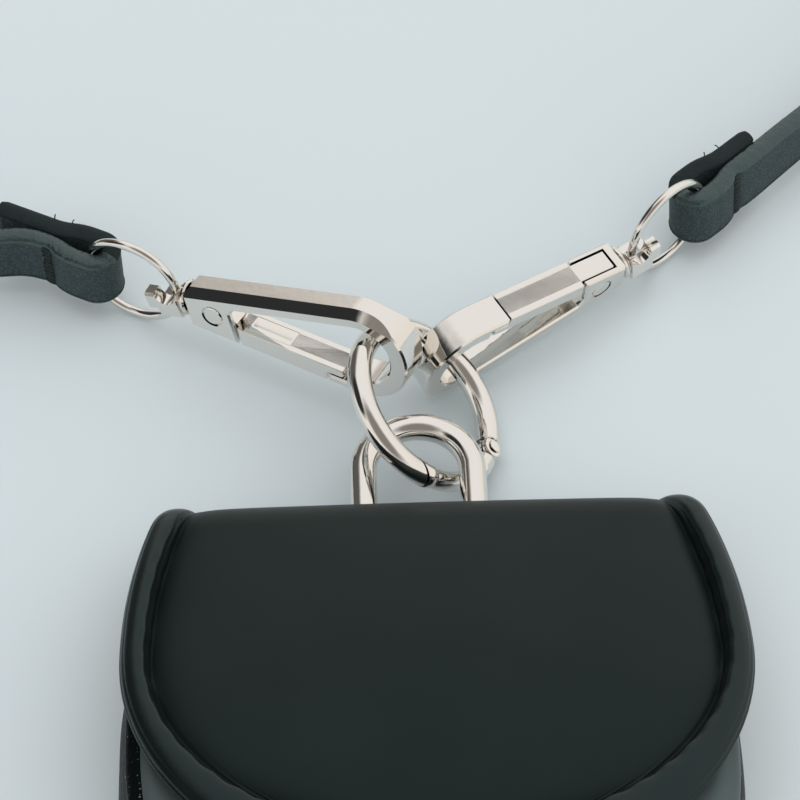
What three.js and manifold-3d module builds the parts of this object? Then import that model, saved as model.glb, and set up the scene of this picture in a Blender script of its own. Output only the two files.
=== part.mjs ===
// Mini bag lying on its back, with its arch, spring ring, two swivel clasps and neck strap.
// Millimetres, +Z up. The origin is on the floor under the middle of the bag's flat back,
// +X to the bag's right, +Y to its top edge, where the metal arch stands out.

import * as THREE from 'three';
import { mergeVertices } from 'three/addons/utils/BufferGeometryUtils.js';
import Module from 'manifold-3d';

const wasm = await Module();
wasm.setup();

const rad = THREE.MathUtils.degToRad;
const { lerp, smoothstep } = THREE.MathUtils;

// How far pieces of one solid run into each other, and how near two points are the same
const OVERLAP = 0.1;
const SAME = 1e-4;
// Facets along the curved outlines
const STEPS = {
  bodySide: 5, backRun: 2, roll: 14, upper: 6, lower: 36, lowerSide: 10, rimRoll: 10, bend: 24, spine: 16,
  root: 8, ringBow: 36, ringGate: 16, ringSwing: 96, arch: 18, search: 40,
};
const COLUMNS = { back: 2, front: 8, gusset: 4, flap: 10 };
const SIDES = { rod: 16, wire: 10, pin: 12, rim: 8, strapWire: 6, strapRing: 24 };
const CORNER_STEPS = { hook: 12, eye: 8 };

// Leather
const GAP = 0.3;
const LEATHER = 1.6;
const BODY = { half: 43.5, wideY: 4, up: 50, down: 45, squareness: 2.8 };
const BACK_TOP_Y = 23.7;
const FRONT_TOP_Y = 26;
const FRONT_INSET = 2.2;
const FRONT_DEPTH = 3;
const GUSSET = { top: 28, back: 2.4, backInset: 0.6, frontInset: 2.9, bulge: 0.9, seam: 0.6 };

// Flap: its middle layer runs flat on the back, rolls over the top edge and lies on the front
const FLAP = {
  thick: 2, half: 43.2, topHalf: 36, down: 38, crown: 1.6, backRun: 8, frontRun: 62, shiftX: 1.1,
};
const ROLL = { y: 32, z: 9.5, radius: 8.4, turn: 166 };
const FRONT_TURN = 18;
const SKIRT = { length: 16, turn: 20 };
const RIM = {
  wide: 4.1, lowWide: 8, high: 4, lift: 0.5, topHigh: 2.7, startTurn: 50, leadIn: 2, swellRun: 8,
  squareness: 0.78,
};
// The elliptic lower edge stops this many degrees short of its tip, where it is cut straight
const LOWER_END = 86;

// Arch shackle
const ARCH = { wire: 2, half: 8.05, z: 10.1, topY: 56.8, footHead: 3.5, footThick: 1.4, footY: 36.3 };

// Spring-gate ring, tilted with its hinge side down
const RING = {
  radius: 12.7, wire: 1.8, lever: 1.55, centre: [1.5, 60.4, 10.8], tilt: 40.6, bearing: -4,
  spin: -11, mouth: -82, mouthGap: 0.35, mouthLap: 14,
};
const KNUCKLE = {
  radius: 1.75, slot: 0.95, eye: 1.65, tongue: 0.6, tongueHalf: 1.4, clear: 2.15, bore: 0.75,
};
const RING_PIN = { radius: 0.45, reach: 2, headRadius: 1.1, headThick: 0.4 };

// Swivel clasp, in its own frame: x from the swivel to the hook, z from the spine to the gate
const CLASP = {
  length: 38, endHigh: 6.8, wedge: 18, thick: 5.4, arm: 2.9, edge: 0.4, block: 7.8, fillet: 1,
  mouthX: 22.7, mouthGap: 0.35,
};
// The spine's outer edges are cut off at 45 degrees, as far round the bend as fade
const CHAMFER = { leg: 1.3, fade: 40, clear: 16 };
const SLOT = { start: 1.3, half: 1.9, floor: -1.7 };
const GATE = {
  rootHalf: 1.6, half: 2.5, thick: 2.9, web: 0.9, wall: 0.9, heelX: 1.75,
  rootRadius: 1.8, rootFrom: 171, rootTo: 288,
};
const LEVER_X = 8.3;
const CHANNEL = { from: 9.3, to: 16.5 };
// Tongue of the gate under the lip of the hook's nose
const TONGUE = { lip: 1.3, gap: 0.3, reach: 2.6, clear: 0.45 };
const PIN = {
  x: 4.6, z: 1, radius: 0.8, bore: 1.1, headRadius: 1.6, headThick: 0.35, sinkRadius: 1.9, sink: 0.55,
};
const EYE = {
  stem: 1.1, bore: 1.4, head: 1.4, headFrom: 1.65, headTo: 2.35,
  collar: 3.2, collarFrom: -1.3, collarTo: -0.4, sunk: 0.2,
  length: 5.6, wide: 5.8, high: 4.4, holeLong: 4, holeWide: 3.2, bevel: 0.3, corner: 1.2, holeX: -3.9,
};
const LEFT = { at: [-32.96, 82.85, 9.95], heading: -27.6, pitch: 19, roll: 173 };
const RIGHT = { at: [32.25, 89, 7.7], heading: -147.6, pitch: -5.8, roll: -12 };

// Strap and the two round rings that join it to the swivels
const STRAP_RING = { radius: 7.9, wire: 0.7, z: 8.65, reach: 7.3 };
const STRAP = { wide: 9.4, thick: 3, loopRadius: 110, riseRun: 60, splayRun: 5, leftRun: 14, rightRun: 34 };
const FOLD = { radius: 2.5, slack: 0.35, run: 1.9, pinch: 3.2, pinchTurn: 17, tack: 0.3 };
const LEFT_STRAP = { bearing: 153.5, splay: 27, tail: 9.5 };
const RIGHT_STRAP = { bearing: 41, splay: -4, tail: 6 };

const BLACK_LEATHER = new THREE.MeshStandardMaterial({ color: 0x23282a, roughness: 0.42, metalness: 0 });
const STRAP_LEATHER = new THREE.MeshStandardMaterial({ color: 0x33393b, roughness: 0.6, metalness: 0 });
const NICKEL = new THREE.MeshStandardMaterial({ color: 0xc9c4ba, roughness: 0.12, metalness: 1 });

// Geometry helpers

function bare(geometry) {
  const copy = geometry.index ? geometry : geometry.clone();
  copy.deleteAttribute('normal');
  copy.deleteAttribute('uv');
  return mergeVertices(copy, SAME);
}

function solid(geometry) {
  const mesh = bare(geometry);
  return new wasm.Manifold(new wasm.Mesh({
    numProp: 3,
    vertProperties: new Float32Array(mesh.attributes.position.array),
    triVerts: new Uint32Array(mesh.index.array),
  }));
}

function faces(manifold) {
  const mesh = manifold.getMesh();
  const geometry = new THREE.BufferGeometry();
  geometry.setAttribute('position', new THREE.BufferAttribute(new Float32Array(mesh.vertProperties), 3));
  geometry.setIndex(new THREE.BufferAttribute(new Uint32Array(mesh.triVerts), 1));
  geometry.computeVertexNormals();
  return geometry;
}

function joined(first, { keep = [], add = [], cut = [] }) {
  let body = solid(first);
  for (const geometry of keep) body = body.intersect(solid(geometry));
  for (const geometry of add) body = body.add(solid(geometry));
  for (const geometry of cut) body = body.subtract(solid(geometry));
  return faces(body);
}

// Moves every vertex of a closed grid to where place(x, y, z) puts it
function reshape(geometry, place) {
  const position = geometry.attributes.position;
  for (let i = 0; i < position.count; i += 1) {
    const point = place(position.getX(i), position.getY(i), position.getZ(i));
    position.setXYZ(i, point.x, point.y, point.z);
  }
  geometry.computeVertexNormals();
  return geometry;
}

function grid(rows, columns) {
  return new THREE.BoxGeometry(1, 1, 1, rows, columns, 1);
}

const station = (list, fraction) => list[Math.round((fraction + 0.5) * (list.length - 1))];

function spread(from, to, steps) {
  return Array.from({ length: steps + 1 }, (unused, i) => lerp(from, to, i / steps));
}

function rodX(radius, from, to, sides = SIDES.rod) {
  return new THREE.CylinderGeometry(radius, radius, to - from, sides)
    .rotateZ(-Math.PI / 2).translate((from + to) / 2, 0, 0);
}

function rodY(radius, from, to, sides = SIDES.rod) {
  return new THREE.CylinderGeometry(radius, radius, to - from, sides).translate(0, (from + to) / 2, 0);
}

function rodZ(radius, from, to, sides = SIDES.rod) {
  return new THREE.CylinderGeometry(radius, radius, to - from, sides)
    .rotateX(Math.PI / 2).translate(0, 0, (from + to) / 2);
}

function block(from, to) {
  const size = to.map((value, i) => value - from[i]);
  return new THREE.BoxGeometry(...size).translate(...from.map((value, i) => value + size[i] / 2));
}

function wire(curve, radius, steps, sides = SIDES.wire) {
  const circle = new THREE.EllipseCurve(0, 0, radius, radius).getPoints(sides);
  const section = new THREE.Shape(circle.slice(0, sides));
  return new THREE.ExtrudeGeometry(section, { steps, bevelEnabled: false, extrudePath: curve });
}

class ArcCurve extends THREE.Curve {
  constructor(radius, from, to) {
    super();
    Object.assign(this, { radius, from, to });
  }

  getPoint(t, target = new THREE.Vector3()) {
    const angle = rad(lerp(this.from, this.to, t));
    return target.set(this.radius * Math.cos(angle), this.radius * Math.sin(angle), 0);
  }
}

// A plane route of straights and arcs, from rows of { length, turn } with left turns positive
function route(start, heading, rows) {
  const legs = [];
  let here = { u: start[0], v: start[1], angle: rad(heading), s: 0 };
  for (const row of rows) {
    const leg = { ...here, length: row.length, bend: rad(row.turn) / row.length, steps: row.steps };
    legs.push(leg);
    here = along(leg, row.length);
  }
  const at = (s) => {
    const leg = legs.find((one) => s <= one.s + one.length + SAME) ?? legs.at(-1);
    return along(leg, s - leg.s);
  };
  const stations = legs.flatMap((leg) => spread(leg.s, leg.s + leg.length, leg.steps).slice(1));
  return { at, end: here, length: here.s, stations: [0, ...stations] };
}

function along(leg, run) {
  const angle = leg.angle + leg.bend * run;
  const straight = leg.bend === 0;
  const du = straight ? run * Math.cos(angle) : (Math.sin(angle) - Math.sin(leg.angle)) / leg.bend;
  const dv = straight ? run * Math.sin(angle) : (Math.cos(leg.angle) - Math.cos(angle)) / leg.bend;
  return { u: leg.u + du, v: leg.v + dv, angle, s: leg.s + run };
}

// Bag body

const powered = (value, power) => Math.sign(value) * Math.abs(value) ** power;

// Point of the body's outline on its rounded lower part, phi from 0 at the left to 180 at the right
function lowerOutline(phi, inset) {
  const power = 2 / BODY.squareness;
  const x = -(BODY.half - inset) * powered(Math.cos(rad(phi)), power);
  const y = BODY.wideY - (BODY.down - inset) * powered(Math.sin(rad(phi)), power);
  return { x, y };
}

function upperHalf(y, inset) {
  return (BODY.half - inset) * Math.sqrt(1 - ((y - BODY.wideY) / BODY.up) ** 2);
}

const flapProfile = route([ROLL.y - FLAP.backRun, ROLL.z - ROLL.radius], 0, [
  { length: FLAP.backRun, turn: 0, steps: STEPS.backRun },
  { length: ROLL.radius * rad(ROLL.turn), turn: ROLL.turn, steps: STEPS.roll },
  { length: FLAP.frontRun, turn: FRONT_TURN, steps: 1 },
  { length: SKIRT.length, turn: SKIRT.turn, steps: 1 },
]);
const APEX_S = FLAP.backRun + ROLL.radius * rad(90);
const ROLL_END_S = FLAP.backRun + ROLL.radius * rad(ROLL.turn);
const FLAP_END_S = ROLL_END_S + FLAP.frontRun;
const WIDEST_S = FLAP_END_S - FLAP.down;
const TOP_REACH = (WIDEST_S - APEX_S) / Math.sqrt(1 - (FLAP.topHalf / FLAP.half) ** 2);
const RIM_START_S = FLAP.backRun + ROLL.radius * rad(RIM.startTurn);

// Place on the flap's middle layer at run s and width x, lifted by n along its outer side
function onFlap(s, x, n) {
  const p = flapProfile.at(s);
  const front = smoothstep(s, APEX_S, ROLL_END_S + RIM.swellRun);
  const crown = FLAP.crown * front * (x / FLAP.half) ** 2;
  return new THREE.Vector3(x, p.u + n * Math.sin(p.angle), p.v - n * Math.cos(p.angle) - crown);
}

// Run s on the front where the profile passes height y
function frontRunAt(y) {
  let low = ROLL_END_S;
  let high = flapProfile.length;
  for (let i = 0; i < STEPS.search; i += 1) {
    const middle = (low + high) / 2;
    if (flapProfile.at(middle).u > y) low = middle;
    else high = middle;
  }
  return low;
}

function bodyRows(inset, topY) {
  const lower = spread(LOWER_END, 0, STEPS.lowerSide).map((phi) => lowerOutline(phi, inset));
  const heights = spread(BODY.wideY, topY, STEPS.bodySide).slice(1);
  const upper = heights.map((y) => ({ x: -upperHalf(y, inset), y }));
  return [...lower, ...upper].map(({ x, y }) => ({ y, half: -x }));
}

function backPanel() {
  const rows = bodyRows(0, BACK_TOP_Y);
  return reshape(grid(COLUMNS.back, rows.length - 1), (fx, fy, fz) => {
    const row = station(rows, fy);
    return new THREE.Vector3(2 * fx * row.half, row.y, (fz + 0.5) * LEATHER);
  });
}

function frontPanel() {
  const rows = bodyRows(FRONT_INSET, FRONT_TOP_Y).reverse();
  return reshape(grid(rows.length - 1, COLUMNS.front), (fs, fx, fn) => {
    const row = station(rows, fs);
    return onFlap(frontRunAt(row.y), 2 * fx * row.half, fn * LEATHER - FRONT_DEPTH);
  });
}

function gussetOutline(inset) {
  const left = spread(GUSSET.top, BODY.wideY, STEPS.upper).map((y) => ({ x: -upperHalf(y, inset), y }));
  const lower = spread(0, 180, STEPS.lower).slice(1, -1).map((phi) => lowerOutline(phi, inset));
  const right = left.map(({ x, y }) => ({ x: -x, y })).reverse();
  return [...left, ...lower, ...right];
}

function gusset() {
  const count = gussetOutline(0).length;
  return reshape(grid(count - 1, COLUMNS.gusset), (fs, fd, fn) => {
    const depth = fd + 0.5;
    const bulge = GUSSET.bulge * Math.sin(Math.PI * depth);
    const inset = lerp(GUSSET.backInset, GUSSET.frontInset, depth) - bulge + (0.5 - fn) * LEATHER;
    const { x, y } = station(gussetOutline(inset), fs);
    const top = onFlap(frontRunAt(y), x, -FRONT_DEPTH - LEATHER / 2 - GUSSET.seam).z;
    return new THREE.Vector3(x, y, lerp(GUSSET.back, top, depth));
  });
}

// Flap and its rolled rim

function flapHalf(s) {
  const reach = WIDEST_S - Math.max(s, APEX_S);
  return FLAP.half * Math.sqrt(1 - (reach / TOP_REACH) ** 2);
}

// The rim is widest at the flap's lower end
function rimWide(s) {
  const low = Math.max(s - WIDEST_S, 0) / FLAP.down;
  return lerp(RIM.wide, RIM.lowWide, low ** 2);
}

// Width that the rim takes up across the flap at run s, with the seam gap
function rimAcross(s) {
  const reach = WIDEST_S - Math.max(s, APEX_S);
  const slope = FLAP.half ** 2 * reach / (TOP_REACH ** 2 * flapHalf(s));
  return RIM.wide * Math.hypot(1, slope) + GAP;
}

function flapRows() {
  const rimStart = RIM_START_S - RIM.leadIn;
  const upper = [...spread(0, FLAP.backRun, STEPS.backRun),
    ...spread(FLAP.backRun, ROLL_END_S, STEPS.roll).slice(1),
    ...spread(ROLL_END_S, WIDEST_S, STEPS.upper).slice(1)];
  const upperRows = upper.map((s) => ({
    s, half: flapHalf(s) - rimAcross(s) * smoothstep(s, rimStart - RIM.wide, rimStart),
  }));
  const lowerRows = spread(0, LOWER_END, STEPS.lowerSide).slice(1).map((phi) => ({
    s: WIDEST_S + (FLAP.down - RIM.lowWide - GAP) * Math.sin(rad(phi)),
    half: (FLAP.half - RIM.wide - GAP) * Math.cos(rad(phi)),
  }));
  return [...upperRows, ...lowerRows];
}

function flap() {
  const rows = flapRows();
  const sheet = reshape(grid(rows.length - 1, COLUMNS.flap), (fs, fx, fn) => {
    const row = station(rows, fs);
    return onFlap(row.s, 2 * fx * row.half, fn * FLAP.thick);
  });
  sheet.translate(FLAP.shiftX, 0, 0);
  const holes = [-1, 1].map((side) => rodY(ARCH.wire + GAP, ROLL.y, ARCH.topY)
    .translate(side * ARCH.half, 0, ARCH.z));
  return joined(sheet, { cut: holes });
}

function rimPath() {
  const runs = [...spread(RIM_START_S, ROLL_END_S, STEPS.rimRoll),
    ...spread(ROLL_END_S, WIDEST_S, STEPS.upper).slice(1)];
  const left = runs.map((s) => ({ s, x: -flapHalf(s) }));
  const lower = spread(0, 180, STEPS.lower).slice(1, -1).map((phi) => ({
    s: WIDEST_S + FLAP.down * Math.sin(rad(phi)),
    x: -FLAP.half * Math.cos(rad(phi)),
  }));
  const right = left.map(({ s, x }) => ({ s, x: -x })).reverse();
  return [...left, ...lower, ...right];
}

function flapBinding() {
  const path = rimPath();
  const tube = new THREE.CylinderGeometry(1, 1, 1, SIDES.rim, path.length - 1);
  return reshape(tube, (cx, cy, cz) => {
    const i = Math.round((cy + 0.5) * (path.length - 1));
    const before = path[Math.max(i - 1, 0)];
    const after = path[Math.min(i + 1, path.length - 1)];
    const step = Math.hypot(after.s - before.s, after.x - before.x);
    const out = { s: (after.x - before.x) / step, x: -(after.s - before.s) / step };
    const across = (powered(cx, RIM.squareness) - 1) * rimWide(path[i].s) / 2;
    const swell = smoothstep(path[i].s, APEX_S, ROLL_END_S + RIM.swellRun);
    const high = lerp(RIM.topHigh, RIM.high, swell);
    const lift = RIM.lift * swell + powered(cz, RIM.squareness) * high / 2;
    return onFlap(path[i].s + out.s * across, path[i].x + out.x * across, lift);
  }).translate(FLAP.shiftX, 0, 0);
}

// Metal arch: a round bar bent to a U, with a plain head on each foot inside the roll

function archRing() {
  const bend = new THREE.CatmullRomCurve3(spread(0, 180, STEPS.bend).map((angle) => new THREE.Vector3(
    ARCH.half * Math.cos(rad(angle)), ARCH.topY - ARCH.half + ARCH.half * Math.sin(rad(angle)), ARCH.z,
  )));
  const feet = [-1, 1].flatMap((side) => [
    rodY(ARCH.wire, ARCH.footY, ARCH.topY - ARCH.half + OVERLAP, SIDES.wire)
      .translate(side * ARCH.half, 0, ARCH.z),
    rodY(ARCH.footHead, ARCH.footY, ARCH.footY + ARCH.footThick).translate(side * ARCH.half, 0, ARCH.z),
  ]);
  return joined(wire(bend, ARCH.wire, STEPS.arch), { add: feet });
}

// Spring-gate ring, in its own plane

// The hinge is on the x axis; the mouth is cut round it, so that the gate swings inwards past the bow
const MOUTH_REACH = 2 * RING.radius * Math.sin(rad(-RING.mouth / 2));

function atHinge(geometry) {
  return geometry.translate(RING.radius, 0, 0);
}

function springRing() {
  const bow = wire(new ArcCurve(RING.radius, 0, RING.mouth + RING.mouthLap + 360), RING.wire, STEPS.ringBow);
  const barrel = atHinge(rodZ(KNUCKLE.radius, -RING.wire, RING.wire));
  const swing = atHinge(rodZ(MOUTH_REACH + RING.mouthGap, -2 * RING.wire, 2 * RING.wire, STEPS.ringSwing));
  const across = 3 * RING.radius;
  const farSide = block([-across, -2 * RING.wire, -RING.radius], [across, across, RING.radius]);
  return joined(bow, {
    add: [barrel],
    cut: [joined(swing, { cut: [farSide] }), atHinge(rodZ(KNUCKLE.clear, -KNUCKLE.slot, KNUCKLE.slot)),
      atHinge(rodZ(KNUCKLE.bore, -2 * RING.wire, 2 * RING.wire))],
  });
}

function springRingGate() {
  const shoulder = -THREE.MathUtils.radToDeg(KNUCKLE.clear / RING.radius);
  const arc = new ArcCurve(RING.radius, RING.mouth - RING.mouthLap, shoulder);
  const bow = wire(arc, RING.lever, STEPS.ringGate);
  const swing = atHinge(rodZ(MOUTH_REACH, -2 * RING.wire, 2 * RING.wire, STEPS.ringSwing));
  const barrel = atHinge(rodZ(KNUCKLE.eye, -KNUCKLE.tongue, KNUCKLE.tongue));
  const tongue = atHinge(block(
    [-KNUCKLE.tongueHalf, -KNUCKLE.clear - KNUCKLE.tongue, -KNUCKLE.tongue],
    [KNUCKLE.tongueHalf, 0, KNUCKLE.tongue],
  ));
  return joined(bow, {
    keep: [swing],
    add: [barrel, tongue],
    cut: [atHinge(rodZ(KNUCKLE.bore, -2 * RING.wire, 2 * RING.wire))],
  });
}

function springRingPin() {
  const { radius, reach, headRadius, headThick } = RING_PIN;
  const heads = [-1, 1].map((side) => atHinge(rodZ(headRadius, 0, headThick).translate(
    0, 0, side > 0 ? reach : -reach - headThick,
  )));
  return joined(atHinge(rodZ(radius, -reach - headThick, reach + headThick)), { add: heads });
}

// Swivel clasp pieces

const SLOPE = Math.tan(rad(CLASP.wedge));
const HALF_END = CLASP.endHigh / 2;
const BEND_RADIUS = (CLASP.endHigh + SLOPE * CLASP.length) / (1 + SLOPE + Math.hypot(1, SLOPE));
const BEND_X = CLASP.length - BEND_RADIUS;
const BEND_Z = BEND_RADIUS - HALF_END;
const gateLine = (x, inset = 0) => HALF_END + SLOPE * x - inset * Math.hypot(1, SLOPE);

const ALONG = new THREE.Vector2(1, SLOPE).normalize();
const INWARD = new THREE.Vector2(ALONG.y, -ALONG.x);

// Point beside the gate line: run past the mouth along it, and deep in from it
function atMouth(run, deep) {
  return new THREE.Vector2(CLASP.mouthX, gateLine(CLASP.mouthX))
    .addScaledVector(ALONG, run).addScaledVector(INWARD, deep);
}

// Outline in (x, z), swept by half its thickness to both sides of y = 0
function plate(shape, half, chamfer = 0) {
  const geometry = new THREE.ExtrudeGeometry(shape, {
    depth: 2 * (half - chamfer), curveSegments: CORNER_STEPS.hook, steps: 1, bevelEnabled: chamfer > 0,
    bevelThickness: chamfer, bevelSize: chamfer, bevelOffset: -chamfer, bevelSegments: 1,
  });
  return geometry.translate(0, 0, -(half - chamfer)).rotateX(Math.PI / 2);
}

function outline(points) {
  return new THREE.Shape(points.map(([x, z]) => new THREE.Vector2(x, z)));
}

function bendPoint(radius, angle) {
  return [BEND_X + radius * Math.cos(rad(angle)), BEND_Z + radius * Math.sin(rad(angle))];
}

function hookShape() {
  const inner = BEND_RADIUS - CLASP.arm;
  const floor = CLASP.arm - HALF_END;
  const top = 90 + CLASP.wedge;
  const under = TONGUE.reach + TONGUE.clear;
  return outline([
    [0, -HALF_END], ...spread(-90, top, STEPS.bend).map((angle) => bendPoint(BEND_RADIUS, angle)),
    atMouth(0, 0).toArray(), atMouth(0, TONGUE.lip).toArray(), atMouth(under, TONGUE.lip).toArray(),
    atMouth(under, CLASP.arm).toArray(),
    ...spread(top, -90, STEPS.bend).map((angle) => bendPoint(inner, angle)),
    [CLASP.block + CLASP.fillet, floor], [CLASP.block, floor + CLASP.fillet],
    [CLASP.block, gateLine(CLASP.block)], [0, gateLine(0)],
  ]);
}

// Outline whose bevel cuts the spine's outer edges and leaves the gate side whole
function spineShape() {
  const { fade, clear } = CHAMFER;
  const [x, z] = bendPoint(BEND_RADIUS, fade);
  const away = [x - clear * Math.sin(rad(fade)), z + clear * Math.cos(rad(fade))];
  return outline([
    [-clear, -HALF_END], ...spread(-90, fade, STEPS.spine).map((angle) => bendPoint(BEND_RADIUS, angle)),
    away, [-clear, away[1]],
  ]);
}

function hook() {
  const half = CLASP.thick / 2;
  const pinAt = (geometry) => geometry.translate(PIN.x, 0, PIN.z);
  return joined(plate(hookShape(), half, CLASP.edge), {
    keep: [plate(spineShape(), half, CHAMFER.leg)],
    cut: [
      block([SLOT.start, -SLOT.half, SLOT.floor], [CLASP.block + CLASP.fillet, SLOT.half, CLASP.length]),
      rodX(EYE.bore, -SLOT.start, 2 * SLOT.start),
      pinAt(rodY(PIN.bore, -2 * half, 2 * half)),
      pinAt(rodY(PIN.sinkRadius, half - PIN.sink, 2 * half)),
      pinAt(rodY(PIN.sinkRadius, -2 * half, PIN.sink - half)),
    ],
  });
}

// Lever from x to its tongue; from behind the pin it has the round root that turns between the cheeks
function gateShape(fromX) {
  const tip = -CLASP.mouthGap;
  const under = TONGUE.lip + TONGUE.gap;
  const root = fromX < PIN.x
    ? [...spread(GATE.rootFrom, GATE.rootTo, STEPS.root).map((angle) => [
      PIN.x + GATE.rootRadius * Math.cos(rad(angle)), PIN.z + GATE.rootRadius * Math.sin(rad(angle))]),
    [CLASP.block, gateLine(CLASP.block, GATE.thick)]]
    : [[fromX, gateLine(fromX, GATE.thick)]];
  return outline([
    atMouth(tip, under).toArray(), atMouth(tip, 0).toArray(), [fromX, gateLine(fromX)], ...root,
    atMouth(TONGUE.reach, GATE.thick).toArray(), atMouth(TONGUE.reach, under).toArray(),
  ]);
}

function gate() {
  const deep = 2 * GATE.thick;
  const channel = block(
    [CHANNEL.from, GATE.wall - GATE.half, -deep], [CHANNEL.to, GATE.half - GATE.wall, -GATE.web],
  ).rotateY(-rad(CLASP.wedge)).translate(0, 0, gateLine(0));
  return joined(plate(gateShape(GATE.heelX), GATE.rootHalf), {
    add: [plate(gateShape(LEVER_X), GATE.half)],
    cut: [channel, rodY(PIN.bore, -CLASP.thick, CLASP.thick).translate(PIN.x, 0, PIN.z)],
  });
}

function gatePin() {
  const half = CLASP.thick / 2;
  const ends = [-1, 1].map((side) => rodY(PIN.headRadius, 0, PIN.headThick)
    .translate(PIN.x, side > 0 ? half - PIN.headThick : -half, PIN.z));
  return joined(rodY(PIN.radius, -half, half, SIDES.pin).translate(PIN.x, 0, PIN.z), { add: ends });
}

function roundedBar(shape, long, wide, centreX) {
  const half = wide / 2;
  shape.moveTo(centreX - long / 2 + half, -half);
  shape.absarc(centreX + long / 2 - half, 0, half, -Math.PI / 2, Math.PI / 2, false);
  shape.absarc(centreX - long / 2 + half, 0, half, Math.PI / 2, Math.PI * 1.5, false);
  shape.closePath();
  return shape;
}

function swivelEye() {
  const { bevel, corner } = EYE;
  const frameTo = EYE.collarFrom + EYE.sunk;
  const frameFrom = EYE.collarFrom - EYE.length;
  const shape = new THREE.Shape();
  shape.moveTo(frameTo, -EYE.wide / 2 + corner / 2);
  shape.lineTo(frameTo, EYE.wide / 2 - corner / 2);
  shape.lineTo(frameFrom + corner, EYE.wide / 2);
  shape.lineTo(frameFrom, EYE.wide / 2 - corner);
  shape.lineTo(frameFrom, -EYE.wide / 2 + corner);
  shape.lineTo(frameFrom + corner, -EYE.wide / 2);
  shape.closePath();
  shape.holes.push(roundedBar(new THREE.Path(), EYE.holeLong, EYE.holeWide, EYE.holeX));
  const frame = new THREE.ExtrudeGeometry(shape, {
    depth: EYE.high - 2 * bevel, steps: 1, curveSegments: CORNER_STEPS.eye, bevelEnabled: true,
    bevelThickness: bevel, bevelSize: bevel, bevelOffset: -bevel, bevelSegments: 1,
  }).translate(0, 0, bevel - EYE.high / 2);
  return joined(frame, {
    add: [rodX(EYE.collar, EYE.collarFrom, EYE.collarTo), rodX(EYE.stem, EYE.collarTo - OVERLAP, EYE.headTo),
      rodX(EYE.head, EYE.headFrom, EYE.headTo)],
  });
}

function placed(group, { at, heading, pitch }, roll) {
  group.position.set(...at);
  group.rotation.set(rad(roll), -rad(pitch), rad(heading), 'ZYX');
  group.updateMatrixWorld(true);
  return group;
}

// Middle of the swivel eye's hole, in the bag's frame
function eyeHole(side) {
  return placed(new THREE.Group(), side, 0).localToWorld(new THREE.Vector3(EYE.holeX, 0, 0));
}

// Strap

function strapRingCentre(side, strap) {
  const hole = eyeHole(side);
  const out = rad(strap.bearing);
  return new THREE.Vector3(
    hole.x + STRAP_RING.reach * Math.cos(out), hole.y + STRAP_RING.reach * Math.sin(out), STRAP_RING.z,
  );
}

// A folded end from its tail to past the bar tack, and the same rows backwards for the other end
const foldedEnd = (tail) => [
  { length: tail, turn: 0, steps: 1 },
  { length: FOLD.pinch, turn: FOLD.pinchTurn, steps: 2 },
  { length: FOLD.pinch, turn: -FOLD.pinchTurn, steps: 2 },
  { length: FOLD.run, turn: 0, steps: 1 },
  { length: Math.PI * FOLD.radius, turn: -180, steps: 10 },
  { length: FOLD.run, turn: 0, steps: 1 },
  { length: FOLD.pinch, turn: -FOLD.pinchTurn, steps: 2 },
  { length: FOLD.pinch, turn: FOLD.pinchTurn, steps: 2 },
  { length: FOLD.tack, turn: 0, steps: 1 },
];
const WIRE_START = Math.sqrt((STRAP_RING.radius - STRAP_RING.wire) ** 2 - (STRAP.wide / 2) ** 2);
const FOLD_CENTRE = WIRE_START - FOLD.slack + FOLD.radius - STRAP.thick / 2;

// Where the tail of an end starts, for a ring at centre
function tailStart(centre, { bearing, tail }, tailSide) {
  const run = route([0, 0], 180, foldedEnd(tail).slice(0, 4)).end;
  const out = rad(bearing);
  const reach = FOLD_CENTRE - run.u;
  const offset = tailSide * (FOLD.radius - Math.abs(run.v));
  return [
    centre.x + reach * Math.cos(out) - offset * Math.sin(out),
    centre.y + reach * Math.sin(out) + offset * Math.cos(out),
  ];
}

function strapRoute() {
  const leftEnd = tailStart(strapRingCentre(LEFT, LEFT_STRAP), LEFT_STRAP, -1);
  const rightEnd = tailStart(strapRingCentre(RIGHT, RIGHT_STRAP), RIGHT_STRAP, 1);
  const arc = (turn) => ({ length: STRAP.loopRadius * rad(turn), turn: -turn, steps: Math.ceil(turn / 7) });
  const leave = LEFT_STRAP.bearing + LEFT_STRAP.splay;
  const arrive = 180 + RIGHT_STRAP.bearing - RIGHT_STRAP.splay;
  const rows = (up, across) => [
    ...foldedEnd(LEFT_STRAP.tail),
    { length: STRAP.splayRun, turn: LEFT_STRAP.splay, steps: 4 },
    { length: STRAP.leftRun, turn: 0, steps: 1 },
    arc(leave - 90),
    { length: up, turn: 0, steps: 1 },
    arc(90),
    { length: across, turn: 0, steps: 2 },
    arc(360 - arrive),
    { length: STRAP.rightRun, turn: 0, steps: 1 },
    { length: STRAP.splayRun, turn: RIGHT_STRAP.splay, steps: 2 },
    ...foldedEnd(RIGHT_STRAP.tail).toReversed(),
  ];
  const short = 1;
  const trial = route(leftEnd, LEFT_STRAP.bearing + 180, rows(short, short)).end;
  return route(leftEnd, LEFT_STRAP.bearing + 180,
    rows(short + rightEnd[1] - trial.v, short + rightEnd[0] - trial.u));
}

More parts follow.
